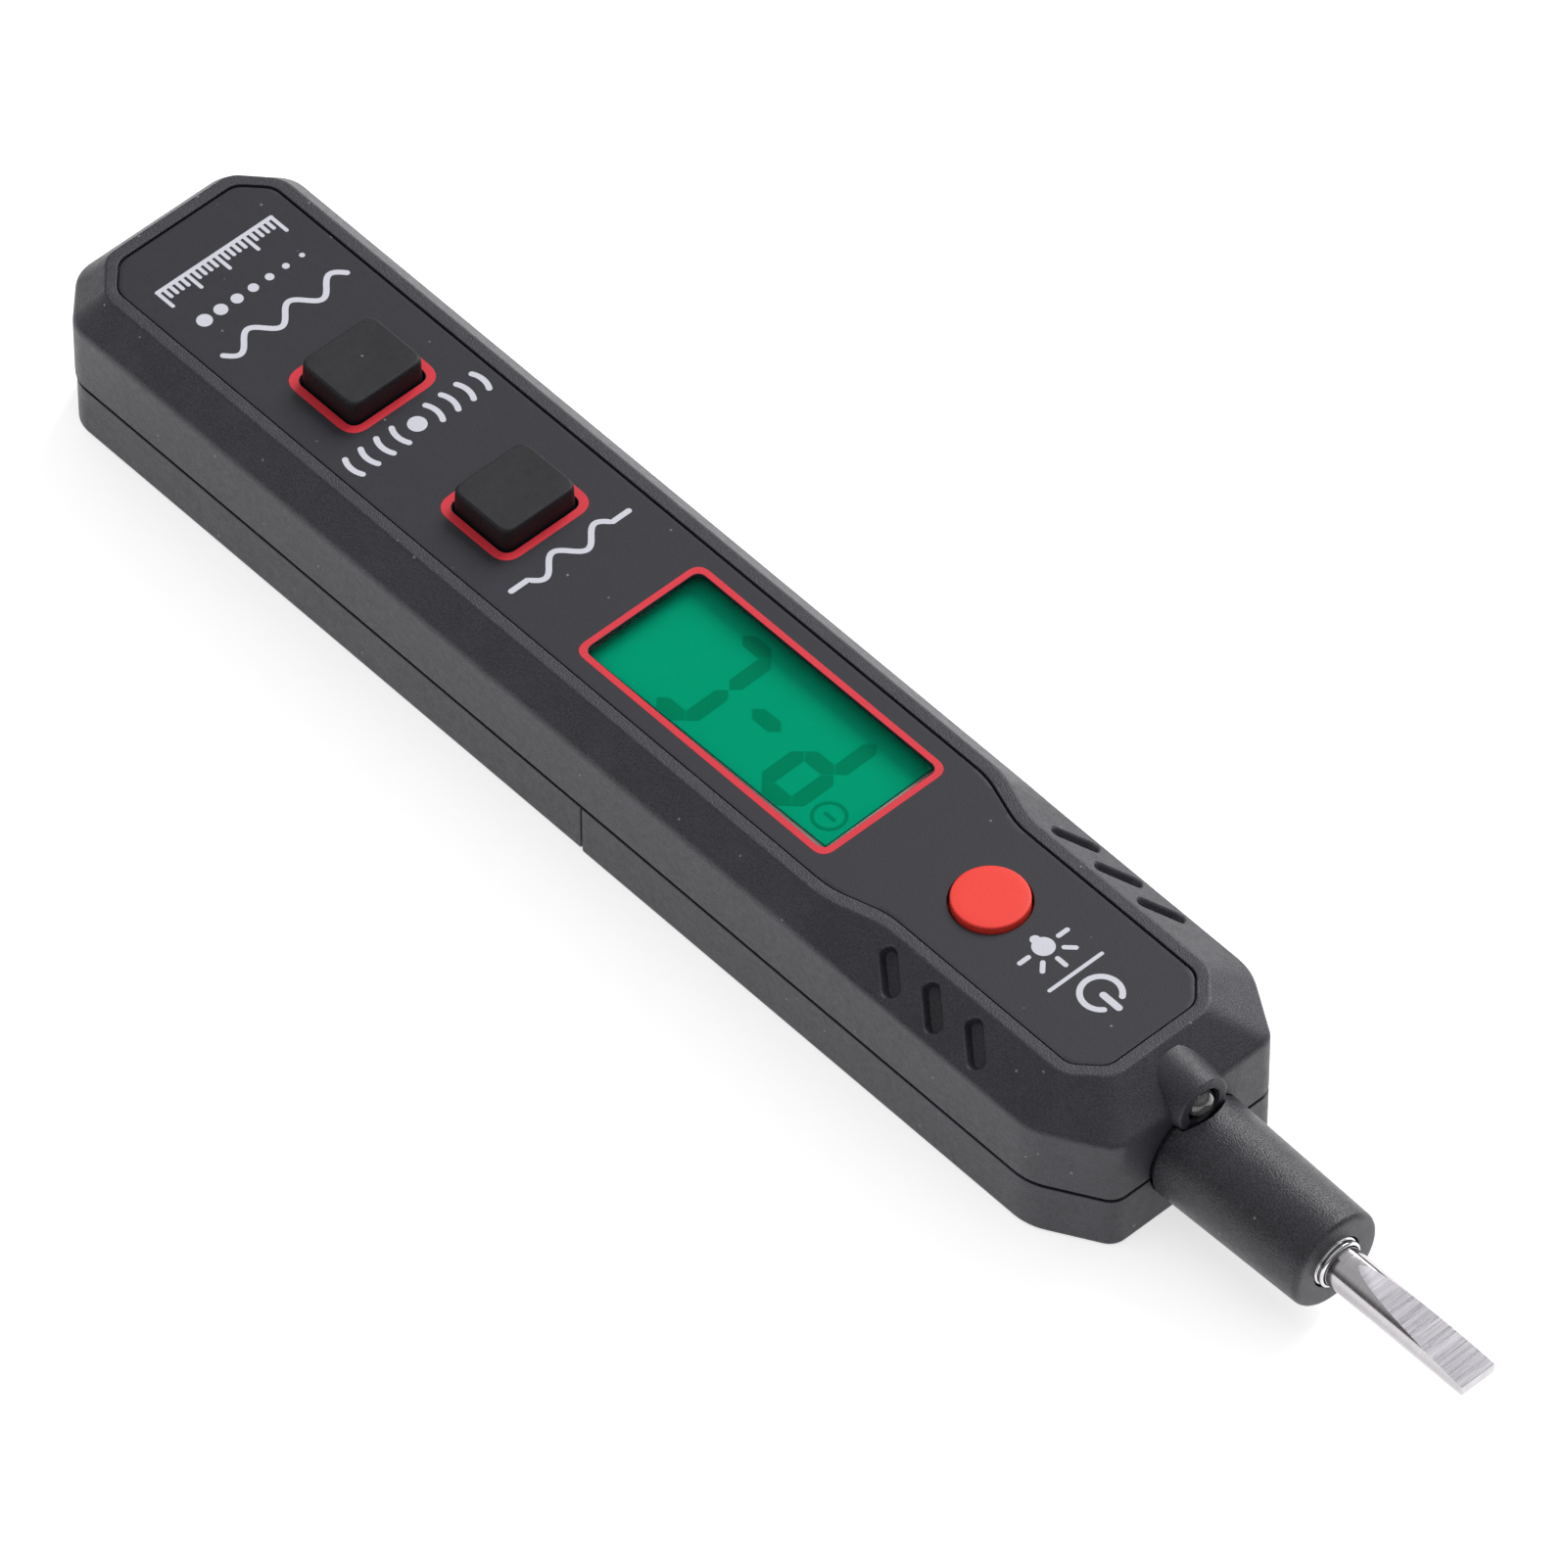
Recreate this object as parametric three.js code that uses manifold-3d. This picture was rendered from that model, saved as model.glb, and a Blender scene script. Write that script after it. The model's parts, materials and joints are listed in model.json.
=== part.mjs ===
// A pen-shaped non contact voltage tester, lying on its back.
// Millimetres. +X runs to the screwdriver tip, +Z comes out of the display face, and the origin is
// the middle of the whole tool's footprint, on the surface that it rests on.
import * as THREE from "three";
import { mergeVertices } from "three/addons/utils/BufferGeometryUtils.js";
import Module from "manifold-3d";

const wasm = await Module();
wasm.setup();

// ---------------------------------------------------------------- driving dimensions

const TIP_X = 89;
const TAIL_X = -89;
const NOSE_X = 52.6; // front wall of the body

const FACE_Z = 17.2; // top of the rim
const PANEL_Z = FACE_Z - 0.15; // top of the face panel, which sits a little below the rim
const SHOULDER_Z = 13.8; // where the chamfer meets the upright wall
const SPLIT_Z = 6.7; // lower edge of the upper shell
const SEAM_X = -14; // between the battery cover and the lower front shell

const GAP = 0.3; // parting gap between outside pieces
const FIT = 0.1; // gap between pieces that are fixed against each other
const WALL = 1.5;
const FLOOR = 1.3;
const EASING = 0.5; // on the bottom edge of the body
const SKIN = 0.8; // wall under the face panel
const PANEL = 0.4;
const GROOVE = 0.35; // around the face panel

const CEILING_Z = PANEL_Z - PANEL - FIT - SKIN;
const BOARD_TOP = 13.3;
const BOARD = 0.8;
const TRAY_TOP = BOARD_TOP - BOARD - FIT;
const TRAY = 0.6;

// Half outlines from tail to nose as [x, half width, setback of the rounded corner].
const WALL_HALF = [
  [TAIL_X, 9, 1.5],
  [-84.2, 13.75, 1.5],
  [15.7, 13.75, 1.5],
  [21.4, 13.75, 1.5],
  [45.5, 13.75, 1.8],
  [NOSE_X, 9.5, 1.2],
];
const RIM_HALF = [
  [-86.3, 7.6, 1.2],
  [-82.4, 11, 1.2],
  [15.7, 11, 1.5],
  [21.4, 9.1, 1.5],
  [44.8, 9.1, 1.2],
  [48.2, 5.8, 1.2],
];
const PANEL_HALF = [
  [-85, 7.1, 0.9],
  [-82.3, 9.65, 0.9],
  [15, 9.65, 1.5],
  [20.8, 7.8, 1.5],
  [44.3, 7.8, 0.9],
  [46.9, 5.3, 0.9],
];

const BUTTON = { length: 7.8, width: 9.1, round: 1.6, edge: 0.5, top: FACE_Z + 2.4, slack: 0.25 };
const CONNECT_X = -59;
const VOLTAGE_X = -38;
const POWER = { x: 25.8, radius: 3.7, top: FACE_Z + 0.45 };
const FLANGE = { z: 15.1, height: 0.3, reach: 0.9 };

const DISPLAY_X = -4.7;
const WINDOW = { length: 31.6, width: 13.6 };
const LENS = { length: 33.2, width: 15.2, z: 15.6, flange: 0.85, top: PANEL_Z };

const PROBE_Z = 7; // axis of the nozzle and the blade
const NOZZLE = { front: 71, base: 5.5, end: 5.1, neck: 4.95, flange: 5.45, edge: 0.8 };
const SHAFT = { radius: 2.1, back: 44, grind: 73.8, tip: 0.5 };
const FERRULE = { back: 66.2, front: 71.6, radius: 2.6 };

const LAMP_Z = 13.3; // axis of the torch lamp
const HOOD = { front: 53.7, back: 49, radius: 2.9 };
const LAMP_BORE = 1.7;

const CELL = { radius: 5.15, length: 44.5, y: 5.25, z: 1.4 + 5.15 };
const CONTACT_BACK = -84.7; // tail end contact of the cells
const CONTACT_FRONT = -35;
const SPRING_GAP = 4.6;

const RAIL = { y: 10.65, web: 0.5, foot: 11.95, z: 4.3, height: 0.6, back: -80, front: -15 };
const TONGUE_Y = 11.45;
const COVER_GRIP = { x: -33, count: 5, pitch: 2.4, length: 1.2, width: 12, depth: 0.4 };

const BOSS_RADIUS = 2.2;
const PILOT_RADIUS = 1;
const SHELL_BOSS_Z = SPLIT_Z - 0.2; // where the head's bosses meet the towers of the lower shell
const TRAY_SCREWS = [[-74, 0], [-48.7, 0], [-26.5, 0]];
const SHELL_SCREWS = [[16.5, 0], [40, -8.5], [40, 8.5]];
const TRAY_SCREW = { head: 1.7, length: 4 };
const SHELL_SCREW = { head: 1.9, length: 9 };
const SCREW_SHANK = 0.8;
const SCREW_HEAD = 1.2; // height

const GRIP_X = [24.8, 30.4, 36];
const GRIP = { length: 5.2, width: 1.9, depth: 0.8, round: 0.9, draft: 0.25 };

const KEY_TRAVEL = 0.5;
const SWITCH_TOP = FLANGE.z - KEY_TRAVEL - FIT;
const SWITCH_FLOOR = BOARD_TOP + 0.2;
const PLUNGER_RADIUS = 1.1;

// ---------------------------------------------------------------- solids

const CORNER_STEPS = 3; // straight pieces in a rounded corner
const ROUND_STEPS = 24; // straight pieces in a full circle
const BOSS_STEPS = 16;
const HOLE_STEPS = 10;

function solid(geometry) {
  const bare = geometry.clone();
  bare.deleteAttribute("normal");
  bare.deleteAttribute("uv");
  const merged = mergeVertices(bare, 1e-4);
  const vertProperties = merged.attributes.position.array;
  const triVerts = new Uint32Array(merged.index.array);
  return new wasm.Manifold(new wasm.Mesh({ numProp: 3, vertProperties, triVerts }));
}

function geometryOf(body) {
  const { numProp, vertProperties, triVerts } = body.getMesh();
  const geometry = new THREE.BufferGeometry();
  geometry.setAttribute("position", new THREE.BufferAttribute(vertProperties, numProp));
  geometry.setIndex(new THREE.BufferAttribute(triVerts, 1));
  geometry.computeVertexNormals();
  return geometry;
}

// A box between two corners.
function block([x0, y0, z0], [x1, y1, z1]) {
  const geometry = new THREE.BoxGeometry(x1 - x0, y1 - y0, z1 - z0);
  return solid(geometry.translate((x0 + x1) / 2, (y0 + y1) / 2, (z0 + z1) / 2));
}

// A bar along X on one side of the body; hand is -1 or +1, and y0 and y1 are distances from the middle.
function barAlong(hand, y0, y1, x0, x1, z0, z1) {
  const [low, high] = hand < 0 ? [-y1, -y0] : [y0, y1];
  return block([x0, low, z0], [x1, high, z1]);
}

// A closed outline whose corners are [x, y, setback].
function outline(corners) {
  const shape = new THREE.Shape();
  corners.forEach(([x, y, setback], i) => {
    const corner = new THREE.Vector2(x, y);
    const before = new THREE.Vector2(...corners.at(i - 1));
    const after = new THREE.Vector2(...corners[(i + 1) % corners.length]);
    const start = before.sub(corner).setLength(setback).add(corner);
    const end = after.sub(corner).setLength(setback).add(corner);
    if (i === 0) shape.moveTo(start.x, start.y);
    else shape.lineTo(start.x, start.y);
    shape.quadraticCurveTo(x, y, end.x, end.y);
  });
  shape.closePath();
  return shape;
}

// Both sides of a half outline, going round anticlockwise.
function bothSides(half) {
  const near = half.map(([x, y, setback]) => [x, -y, setback]);
  return [...near, ...half.toReversed()];
}

// The same corners moved inwards, square to the edges that meet there.
function inset(corners, distance) {
  return corners.map(([x, y, setback], i) => {
    const corner = new THREE.Vector2(x, y);
    const into = corner.clone().sub(new THREE.Vector2(...corners.at(i - 1))).normalize();
    const away = new THREE.Vector2(...corners[(i + 1) % corners.length]).sub(corner).normalize();
    const reach = distance / (1 + into.dot(away));
    return [x - (into.y + away.y) * reach, y + (into.x + away.x) * reach, setback];
  });
}

function prismGeometry(shape, z0, z1) {
  const options = { depth: z1 - z0, bevelEnabled: false, curveSegments: CORNER_STEPS };
  return new THREE.ExtrudeGeometry(shape, options).translate(0, 0, z0);
}

function prism(corners, z0, z1) {
  return solid(prismGeometry(outline(corners), z0, z1));
}

// A prism whose lower outline is drawn out to another one with the same number of corners.
function taperGeometry(lower, upper, z0, z1) {
  const from = outline(upper).getPoints(CORNER_STEPS);
  const to = outline(lower).getPoints(CORNER_STEPS);
  const geometry = prismGeometry(outline(upper), z0, z1);
  const position = geometry.attributes.position;
  for (let i = 0; i < position.count; i += 1) {
    const here = new THREE.Vector2(position.getX(i), position.getY(i));
    if (Math.abs(position.getZ(i) - z0) < 1e-3) {
      const target = to[from.findIndex((point) => point.distanceTo(here) < 1e-3)];
      position.setXY(i, target.x, target.y);
    }
  }
  return geometry;
}

function taper(lower, upper, z0, z1) {
  return solid(taperGeometry(lower, upper, z0, z1));
}

function rectangle(x, y, length, width, setback) {
  const [a, b] = [length / 2, width / 2];
  return [
    [x - a, y - b, setback],
    [x + a, y - b, setback],
    [x + a, y + b, setback],
    [x - a, y + b, setback],
  ];
}

// A solid of revolution about X through (0, y, z), from [x, radius] points taken towards the tip.
function turned(profile, y = 0, z = 0, steps = ROUND_STEPS) {
  const points = profile.map(([x, radius]) => new THREE.Vector2(radius, x));
  const geometry = new THREE.LatheGeometry(points, steps).rotateZ(-Math.PI / 2);
  return solid(geometry.translate(0, y, z));
}

// A cylinder along X or along Z.
function rod(x0, x1, radius, y, z, steps = ROUND_STEPS) {
  return turned([[x0, 0], [x0, radius], [x1, radius], [x1, 0]], y, z, steps);
}
function post(x, y, radius, z0, z1, steps = ROUND_STEPS) {
  const geometry = new THREE.CylinderGeometry(radius, radius, z1 - z0, steps);
  return solid(geometry.rotateX(Math.PI / 2).translate(x, y, (z0 + z1) / 2));
}

function join(...bodies) {
  return bodies.reduce((whole, body) => whole.add(body));
}
function cut(body, ...tools) {
  return tools.reduce((left, tool) => left.subtract(tool), body);
}

// A wire wound along X, shrinking from one coil radius to the other.
class Coil extends THREE.Curve {
  constructor(x0, x1, radius0, radius1, turns) {
    super();
    Object.assign(this, { x0, x1, radius0, radius1, turns });
  }
  getPoint(t) {
    const angle = 2 * Math.PI * this.turns * t;
    const radius = THREE.MathUtils.lerp(this.radius0, this.radius1, t);
    const x = THREE.MathUtils.lerp(this.x0, this.x1, t);
    return new THREE.Vector3(x, radius * Math.cos(angle), radius * Math.sin(angle));
  }
}

function spring(x0, x1, radius0, radius1, turns, wire, y, z) {
  const section = new THREE.Shape().absarc(0, 0, wire / 2, 0, 2 * Math.PI);
  const geometry = new THREE.ExtrudeGeometry(section, {
    steps: Math.round(turns * 10),
    curveSegments: 3,
    extrudePath: new Coil(x0, x1, radius0, radius1, turns),
  });
  return solid(geometry.translate(0, y, z));
}

// ---------------------------------------------------------------- casing

const wallCorners = (distance = 0) => inset(bothSides(WALL_HALF), distance);
const rimCorners = (distance = 0) => inset(bothSides(RIM_HALF), distance);
const panelCorners = (distance = 0) => inset(bothSides(PANEL_HALF), distance);

const buttonCorners = (x, grow = 0) =>
  rectangle(x, 0, BUTTON.length + 2 * grow, BUTTON.width + 2 * grow, BUTTON.round);
const windowCorners = (size, grow = 0) =>
  rectangle(DISPLAY_X, 0, size.length + 2 * grow, size.width + 2 * grow, 1);

// The openings that the keys and the display share between the panel and the skin under it.
function faceOpenings(z0, z1, displaySize) {
  return [
    prism(buttonCorners(CONNECT_X, BUTTON.slack), z0, z1),
    prism(buttonCorners(VOLTAGE_X, BUTTON.slack), z0, z1),
    post(POWER.x, 0, POWER.radius + 0.2, z0, z1),
    prism(windowCorners(displaySize), z0, z1),
  ];
}

// One finger slot in the chamfer beside the head, slanting forwards; side is -1 or +1.
function gripSlot(x, side) {
  const [rimY, wallY] = [RIM_HALF[3][1], WALL_HALF[3][1]];
  const slope = new THREE.Vector2(wallY - rimY, SHOULDER_Z - FACE_Z).normalize();
  const forwards = 1.07;
  const along = new THREE.Vector3(forwards, side * slope.x, slope.y).normalize();
  const outward = new THREE.Vector3(0, -side * slope.y, slope.x);
  const across = new THREE.Vector3().crossVectors(outward, along);
  const turn = new THREE.Matrix4().makeBasis(along, across, outward);
  turn.setPosition(x, (side * (rimY + wallY)) / 2, (FACE_Z + SHOULDER_Z) / 2);
  const { length, width, depth, round, draft } = GRIP;
  const mouth = rectangle(0, 0, length + 2 * draft, width + 2 * draft, round);
  const floor = rectangle(0, 0, length - 2 * draft, width - 2 * draft, round - draft);
  return solid(taperGeometry(floor, mouth, -depth, depth).applyMatrix4(turn));
}

// The hole in the front wall that both half shells close round the nozzle's neck.
function neckHole() {
  return rod(50, 54, NOZZLE.neck + GAP, 0, PROBE_Z);
}

function upperShell() {
  const hollowTop = 13;
  const outside = join(
    prism(wallCorners(), SPLIT_Z, SHOULDER_Z),
    taper(wallCorners(), rimCorners(), SHOULDER_Z, FACE_Z),
  );
  const hollow = join(
    prism(wallCorners(WALL), SPLIT_Z - 1, hollowTop),
    taper(wallCorners(WALL), rimCorners(1.1), hollowTop, CEILING_Z),
  );
  const walls = cut(
    outside,
    hollow,
    prism(panelCorners(-GROOVE / 2), PANEL_Z - PANEL - FIT, FACE_Z + 1),
    neckHole(),
    ...GRIP_X.flatMap((x) => [gripSlot(x, -1), gripSlot(x, 1)]),
    ...faceOpenings(CEILING_Z - 1, FACE_Z, { length: LENS.length + 0.6, width: LENS.width + 0.6 }),
  );
  const hood = cut(
    turned(
      [
        [HOOD.back, 0],
        [HOOD.back, HOOD.radius + 0.5],
        [HOOD.front - 0.3, HOOD.radius],
        [HOOD.front, HOOD.radius - 0.3],
        [HOOD.front, 0],
      ],
      0,
      LAMP_Z,
    ),
    block([45, -5, 5], [NOSE_X - WALL, 5, hollowTop]),
  );
  const bossTop = CEILING_Z + 0.3;
  const bosses = [
    ...TRAY_SCREWS.map(([x, y]) => post(x, y, BOSS_RADIUS, TRAY_TOP + FIT, bossTop, BOSS_STEPS)),
    ...SHELL_SCREWS.map(([x, y]) => post(x, y, BOSS_RADIUS, SHELL_BOSS_Z, bossTop, BOSS_STEPS)),
  ];
  const pilots = [
    ...TRAY_SCREWS.map(([x, y]) => post(x, y, PILOT_RADIUS, TRAY_TOP - 1, 15, HOLE_STEPS)),
    ...SHELL_SCREWS.map(([x, y]) => post(x, y, PILOT_RADIUS, SPLIT_Z - 1, 12, HOLE_STEPS)),
  ];
  const lampBore = turned(
    [
      [44, 0],
      [44, LAMP_BORE],
      [HOOD.front - 0.6, LAMP_BORE],
      [HOOD.front + 1, LAMP_BORE + 0.5],
      [HOOD.front + 1, 0],
    ],
    0,
    LAMP_Z,
  );
  return cut(join(walls, hood, ...bosses), lampBore, ...pilots);
}

// The lower half of the body, with its bottom edge eased all round.
function lowerBody(side) {
  return join(
    taper(wallCorners(side + EASING), wallCorners(side), 0, EASING),
    prism(wallCorners(side), EASING, SPLIT_Z - GAP),
  );
}

function lowerFrontShell() {
  const rear = SEAM_X + GAP / 2;
  const towerTop = SHELL_BOSS_Z - GAP;
  const behind = block([TAIL_X - 1, -20, -1], [rear, 20, 30]);
  const tray = cut(
    lowerBody(0),
    prism(wallCorners(WALL), FLOOR, 20),
    neckHole(),
    behind,
  );
  const bulkhead = block([rear, -10.3, FLOOR - 0.3], [rear + 1.2, 10.3, 11.4]);
  const hooks = [-5, 5].map((y) => block([rear - 3, y - 2, 10.4], [rear + 0.5, y + 2, 11.4]));
  const towers = SHELL_SCREWS.map(([x, y]) => post(x, y, 3, FLOOR - 0.3, towerTop, BOSS_STEPS));
  const screwHoles = SHELL_SCREWS.flatMap(([x, y]) => [
    post(x, y, SHELL_SCREW.head + GAP, -1, 2, BOSS_STEPS),
    post(x, y, SCREW_SHANK + GAP, 1, 10, HOLE_STEPS),
  ]);
  return cut(join(tray, bulkhead, ...hooks, ...towers), ...screwHoles);
}

function batteryCover() {
  const side = GAP;
  const front = SEAM_X - GAP / 2;
  const ahead = block([front, -20, -1], [TIP_X, 20, 30]);
  const shell = cut(lowerBody(side), prism(wallCorners(side + 1.2), FLOOR - 0.1, 20), ahead);
  const insideWall = 12.5;
  const tongues = [-1, 1].map((hand) =>
    barAlong(hand, TONGUE_Y, insideWall, RAIL.back, front, RAIL.z + RAIL.height + GAP, SPLIT_Z - GAP),
  );
  const grips = Array.from({ length: COVER_GRIP.count }, (_, i) => {
    const start = COVER_GRIP.x + i * COVER_GRIP.pitch;
    const [a, b] = [COVER_GRIP.width / 2, COVER_GRIP.length];
    return block([start, -a, -1], [start + b, a, COVER_GRIP.depth]);
  });
  return cut(join(shell, ...tongues), ...grips);
}

function facePanel() {
  const plate = prism(panelCorners(GROOVE / 2), PANEL_Z - PANEL, PANEL_Z);
  return cut(plate, ...faceOpenings(PANEL_Z - PANEL - 1, FACE_Z + 1, WINDOW));
}

// ---------------------------------------------------------------- keys, each about its own axis

// A rubber key: a block with a rounded top edge on a thin flange that holds it under the skin.
function rubberKey() {
  const { length, width, round, edge } = BUTTON;
  const shape = outline(rectangle(0, 0, length - 2 * edge, width - 2 * edge, round - edge));
  const cap = new THREE.ExtrudeGeometry(shape, {
    depth: BUTTON.top - FLANGE.z - 2 * edge,
    bevelThickness: edge,
    bevelSize: edge,
    bevelSegments: 2,
    curveSegments: CORNER_STEPS,
  });
  const skirt = prism(buttonCorners(0), FLANGE.z, BUTTON.top - edge);
  const flange = prism(buttonCorners(0, FLANGE.reach), FLANGE.z, FLANGE.z + FLANGE.height);
  return join(solid(cap.translate(0, 0, FLANGE.z + edge)), skirt, flange);
}

function powerKey() {
  const { radius, top } = POWER;
  const base = FLANGE.z;
  const wide = radius + FLANGE.reach;
  const profile = [
    [0, base],
    [wide, base],
    [wide, base + FLANGE.height],
    [radius, base + FLANGE.height],
    [radius, top - 0.3],
    [radius - 0.1, top - 0.1],
    [radius - 0.35, top],
    [0, top],
  ];
  const points = profile.map(([r, z]) => new THREE.Vector2(r, z));
  return solid(new THREE.LatheGeometry(points, 32).rotateX(Math.PI / 2));
}

function switchBody() {
  const can = prism(rectangle(0, 0, 5.1, 5.1, 0.4), BOARD_TOP + FIT, SWITCH_TOP);
  return cut(can, post(0, 0, PLUNGER_RADIUS + GAP, SWITCH_FLOOR, 20, 16));
}

function switchPlunger() {
  return post(0, 0, PLUNGER_RADIUS, SWITCH_FLOOR + KEY_TRAVEL + 0.05, FLANGE.z - FIT, 16);
}

// ---------------------------------------------------------------- display

function lens() {
  const flange = prism(windowCorners(LENS), LENS.z, LENS.z + LENS.flange);
  const raised = prism(windowCorners(WINDOW, -0.2), LENS.z, LENS.top);
  return join(flange, raised);
}

function lcdFrame() {
  const inner = { length: 34.6, width: 17 };
  const outer = prism(windowCorners(inner, 0.7), BOARD_TOP + FIT, LENS.z - 0.2);
  return cut(outer, prism(windowCorners(inner), BOARD_TOP, 20));
}

// ---------------------------------------------------------------- probe

function nozzle() {
  const outerBack = NOSE_X + GAP;
  const slope = (NOZZLE.end - NOZZLE.base) / (NOZZLE.front - outerBack);
  const edgeBack = NOZZLE.front - NOZZLE.edge;
  const edgeRadius = NOZZLE.base + slope * (edgeBack - outerBack);
  const edge = Array.from({ length: 5 }, (_, i) => {
    const angle = (i / 4) * (Math.PI / 2);
    const drop = NOZZLE.edge * (1 - Math.cos(angle));
    return [edgeBack + NOZZLE.edge * Math.sin(angle), edgeRadius - drop];
  });
  const body = turned(
    [
      [48.4, 0],
      [48.4, NOZZLE.flange],
      [50.8, NOZZLE.flange],
      [50.8, NOZZLE.neck],
      [outerBack, NOZZLE.neck],
      [outerBack, NOZZLE.base],
      ...edge,
      [NOZZLE.front, 0],
    ],
    0,
    PROBE_Z,
    32,
  );
  const hoodRoom = turned(
    [
      [50.5, 0],
      [50.5, HOOD.radius + 0.5],
      [HOOD.front + 0.1, HOOD.radius + 0.1],
      [HOOD.front + 0.5, 2.2],
      [HOOD.front + 0.9, 1.1],
      [HOOD.front + 1.1, 0],
    ],
    0,
    LAMP_Z,
  );
  return cut(
    body,
    rod(40, 80, SHAFT.radius + 0.15, 0, PROBE_Z),
    rod(FERRULE.back - 0.1, 80, FERRULE.radius + 0.15, 0, PROBE_Z),
    rod(43, 51, LAMP_BORE + 0.3, 0, LAMP_Z),
    hoodRoom,
  );
}

// The collar in the nozzle's mouth, with two ridges that show in front of it.
function ferrule() {
  const { back, front, radius } = FERRULE;
  const ring = turned(
    [
      [back, 0],
      [back, radius],
      [front - 0.9, radius],
      [front - 0.75, radius - 0.3],
      [front - 0.55, radius - 0.3],
      [front - 0.4, radius - 0.1],
      [front - 0.15, radius - 0.1],
      [front, radius - 0.3],
      [front, 0],
    ],
    0,
    PROBE_Z,
  );
  return cut(ring, rod(60, 80, SHAFT.radius + 0.1, 0, PROBE_Z));
}

// A round shaft, ground to a wedge from two sides.
function blade() {
  const { radius, back, grind, tip } = SHAFT;
  const wedgeShape = new THREE.Shape([
    new THREE.Vector2(grind, radius),
    new THREE.Vector2(TIP_X + 1, tip - 0.05),
    new THREE.Vector2(TIP_X + 1, 5),
    new THREE.Vector2(grind, 5),
  ]);
  const wedge = new THREE.ExtrudeGeometry(wedgeShape, { depth: 10, bevelEnabled: false });
  const upper = wedge.translate(0, 0, -5).rotateX(Math.PI / 2);
  const lower = upper.clone().rotateX(Math.PI);
  return cut(
    rod(back, TIP_X, radius, 0, PROBE_Z, 40),
    solid(upper.translate(0, 0, PROBE_Z)),
    solid(lower.translate(0, 0, PROBE_Z)),
  );
}

function lamp() {
  const radius = 1.5;
  const domeBack = 52.8;
  const dome = Array.from({ length: 6 }, (_, i) => {
    const angle = (i / 5) * (Math.PI / 2);
    return [domeBack + radius * Math.sin(angle), radius * Math.cos(angle)];
  });
  const bulb = turned(
    [[48.6, 0], [48.6, radius + 0.1], [49.4, radius + 0.1], [49.4, radius], ...dome],
    0,
    LAMP_Z,
    24,
  );
  const legs = [-1.27, 1.27].map((y) => rod(43.2, 48.8, 0.25, y, LAMP_Z, 8));
  return join(bulb, ...legs);
}

// ---------------------------------------------------------------- board and what is on it

function circuitBoard() {
  const sheet = prism(wallCorners(2.6), BOARD_TOP - BOARD, BOARD_TOP);
  const holes = [...TRAY_SCREWS, SHELL_SCREWS[0]];
  return cut(
    sheet,
    block([-95, -20, 5], [-83, 20, 20]),
    block([43, -20, 5], [60, 20, 20]),
    block([34, 5.6, 5], [60, 20, 20]),
    block([34, -20, 5], [60, -5.6, 20]),
    ...holes.map(([x, y]) => post(x, y, BOSS_RADIUS + GAP, 5, 20, 20)),
  );
}

function chip(length, width) {
  const top = BOARD_TOP - BOARD - FIT;
  return prism(rectangle(0, 0, length, width, 0.2), top - 1.2, top);
}

function resistor() {
  const z = 9.6;
  const body = turned(
    [[23.5, 0], [23.5, 1.1], [25, 1.1], [25.4, 0.9], [28.6, 0.9], [29, 1.1], [30.5, 1.1], [30.5, 0]],
    0,
    z,
    16,
  );
  const leads = [
    rod(21, 24, 0.3, 0, z, 8),
    rod(30, 33, 0.3, 0, z, 8),
    post(21.2, 0, 0.3, z - 0.2, TRAY_TOP, 8),
    post(32.8, 0, 0.3, z - 0.2, TRAY_TOP, 8),
  ];
  return join(body, ...leads);
}

// The bracket under the board that the probe spring pushes on.
function probeContact() {
  const top = BOARD_TOP - BOARD - FIT;
  return join(
    block([36.6, -2, 4.8], [37, 2, top]),
    block([34.4, -2, top - 0.4], [37, 2, top]),
    rod(36.8, 38.6, 0.9, 0, PROBE_Z, 12),
  );
}

// ---------------------------------------------------------------- batteries and their tray

function batteryTray() {
  const floorBottom = TRAY_TOP - TRAY;
  const floor = cut(
    prism(wallCorners(2), floorBottom, TRAY_TOP),
    block([SEAM_X - 0.5, -20, 0], [60, 20, 20]),
  );
  const inWalls = floorBottom + 0.2;
  const { y, web, foot, z, height, back, front } = RAIL;
  const rails = [-1, 1].flatMap((hand) => [
    barAlong(hand, y, y + web, back, front, z, inWalls),
    barAlong(hand, y, foot, back, front, z, z + height),
  ]);
  const rearWall = block([CONTACT_BACK - 0.9, -9.3, 1.6], [CONTACT_BACK - 0.1, 9.3, inWalls]);
  const frontWall = block([CONTACT_FRONT + 0.4, -10.9, 1.6], [CONTACT_FRONT + 1.4, 10.9, inWalls]);
  const tabSlots = [-CELL.y, CELL.y].map((middle) =>
    block([CONTACT_FRONT - 0.3, middle - 1.3, 10], [CONTACT_FRONT + 0.4, middle + 1.3, 20]),
  );
  const screwHoles = TRAY_SCREWS.map(([screwX, screwY]) =>
    post(screwX, screwY, SCREW_SHANK + GAP, 5, 20, HOLE_STEPS),
  );
  return cut(join(floor, ...rails, rearWall, frontWall), ...tabSlots, ...screwHoles);
}

// A cell along X with its button end towards +X and its flat end at the origin.
function cell() {
  const { radius, length } = CELL;
  const profile = [
    [0, 0],
    [0, radius - 0.6],
    [0.2, radius - 0.2],
    [0.5, radius],
    [length - 1.6, radius],
    [length - 1.2, radius - 0.3],
    [length - 1, radius - 0.9],
    [length - 1, 1.9],
    [length - 0.2, 1.9],
    [length, 1.6],
    [length, 0],
  ];
  return turned(profile);
}

const PLATE = 0.3;

// The coil that presses on a cell's flat end, from its plate at x0 to x1.
function cellSpring(x0, x1, y) {
  return spring(x0, x1, 3.2, 2, 3, 0.6, y, CELL.z);
}

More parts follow.
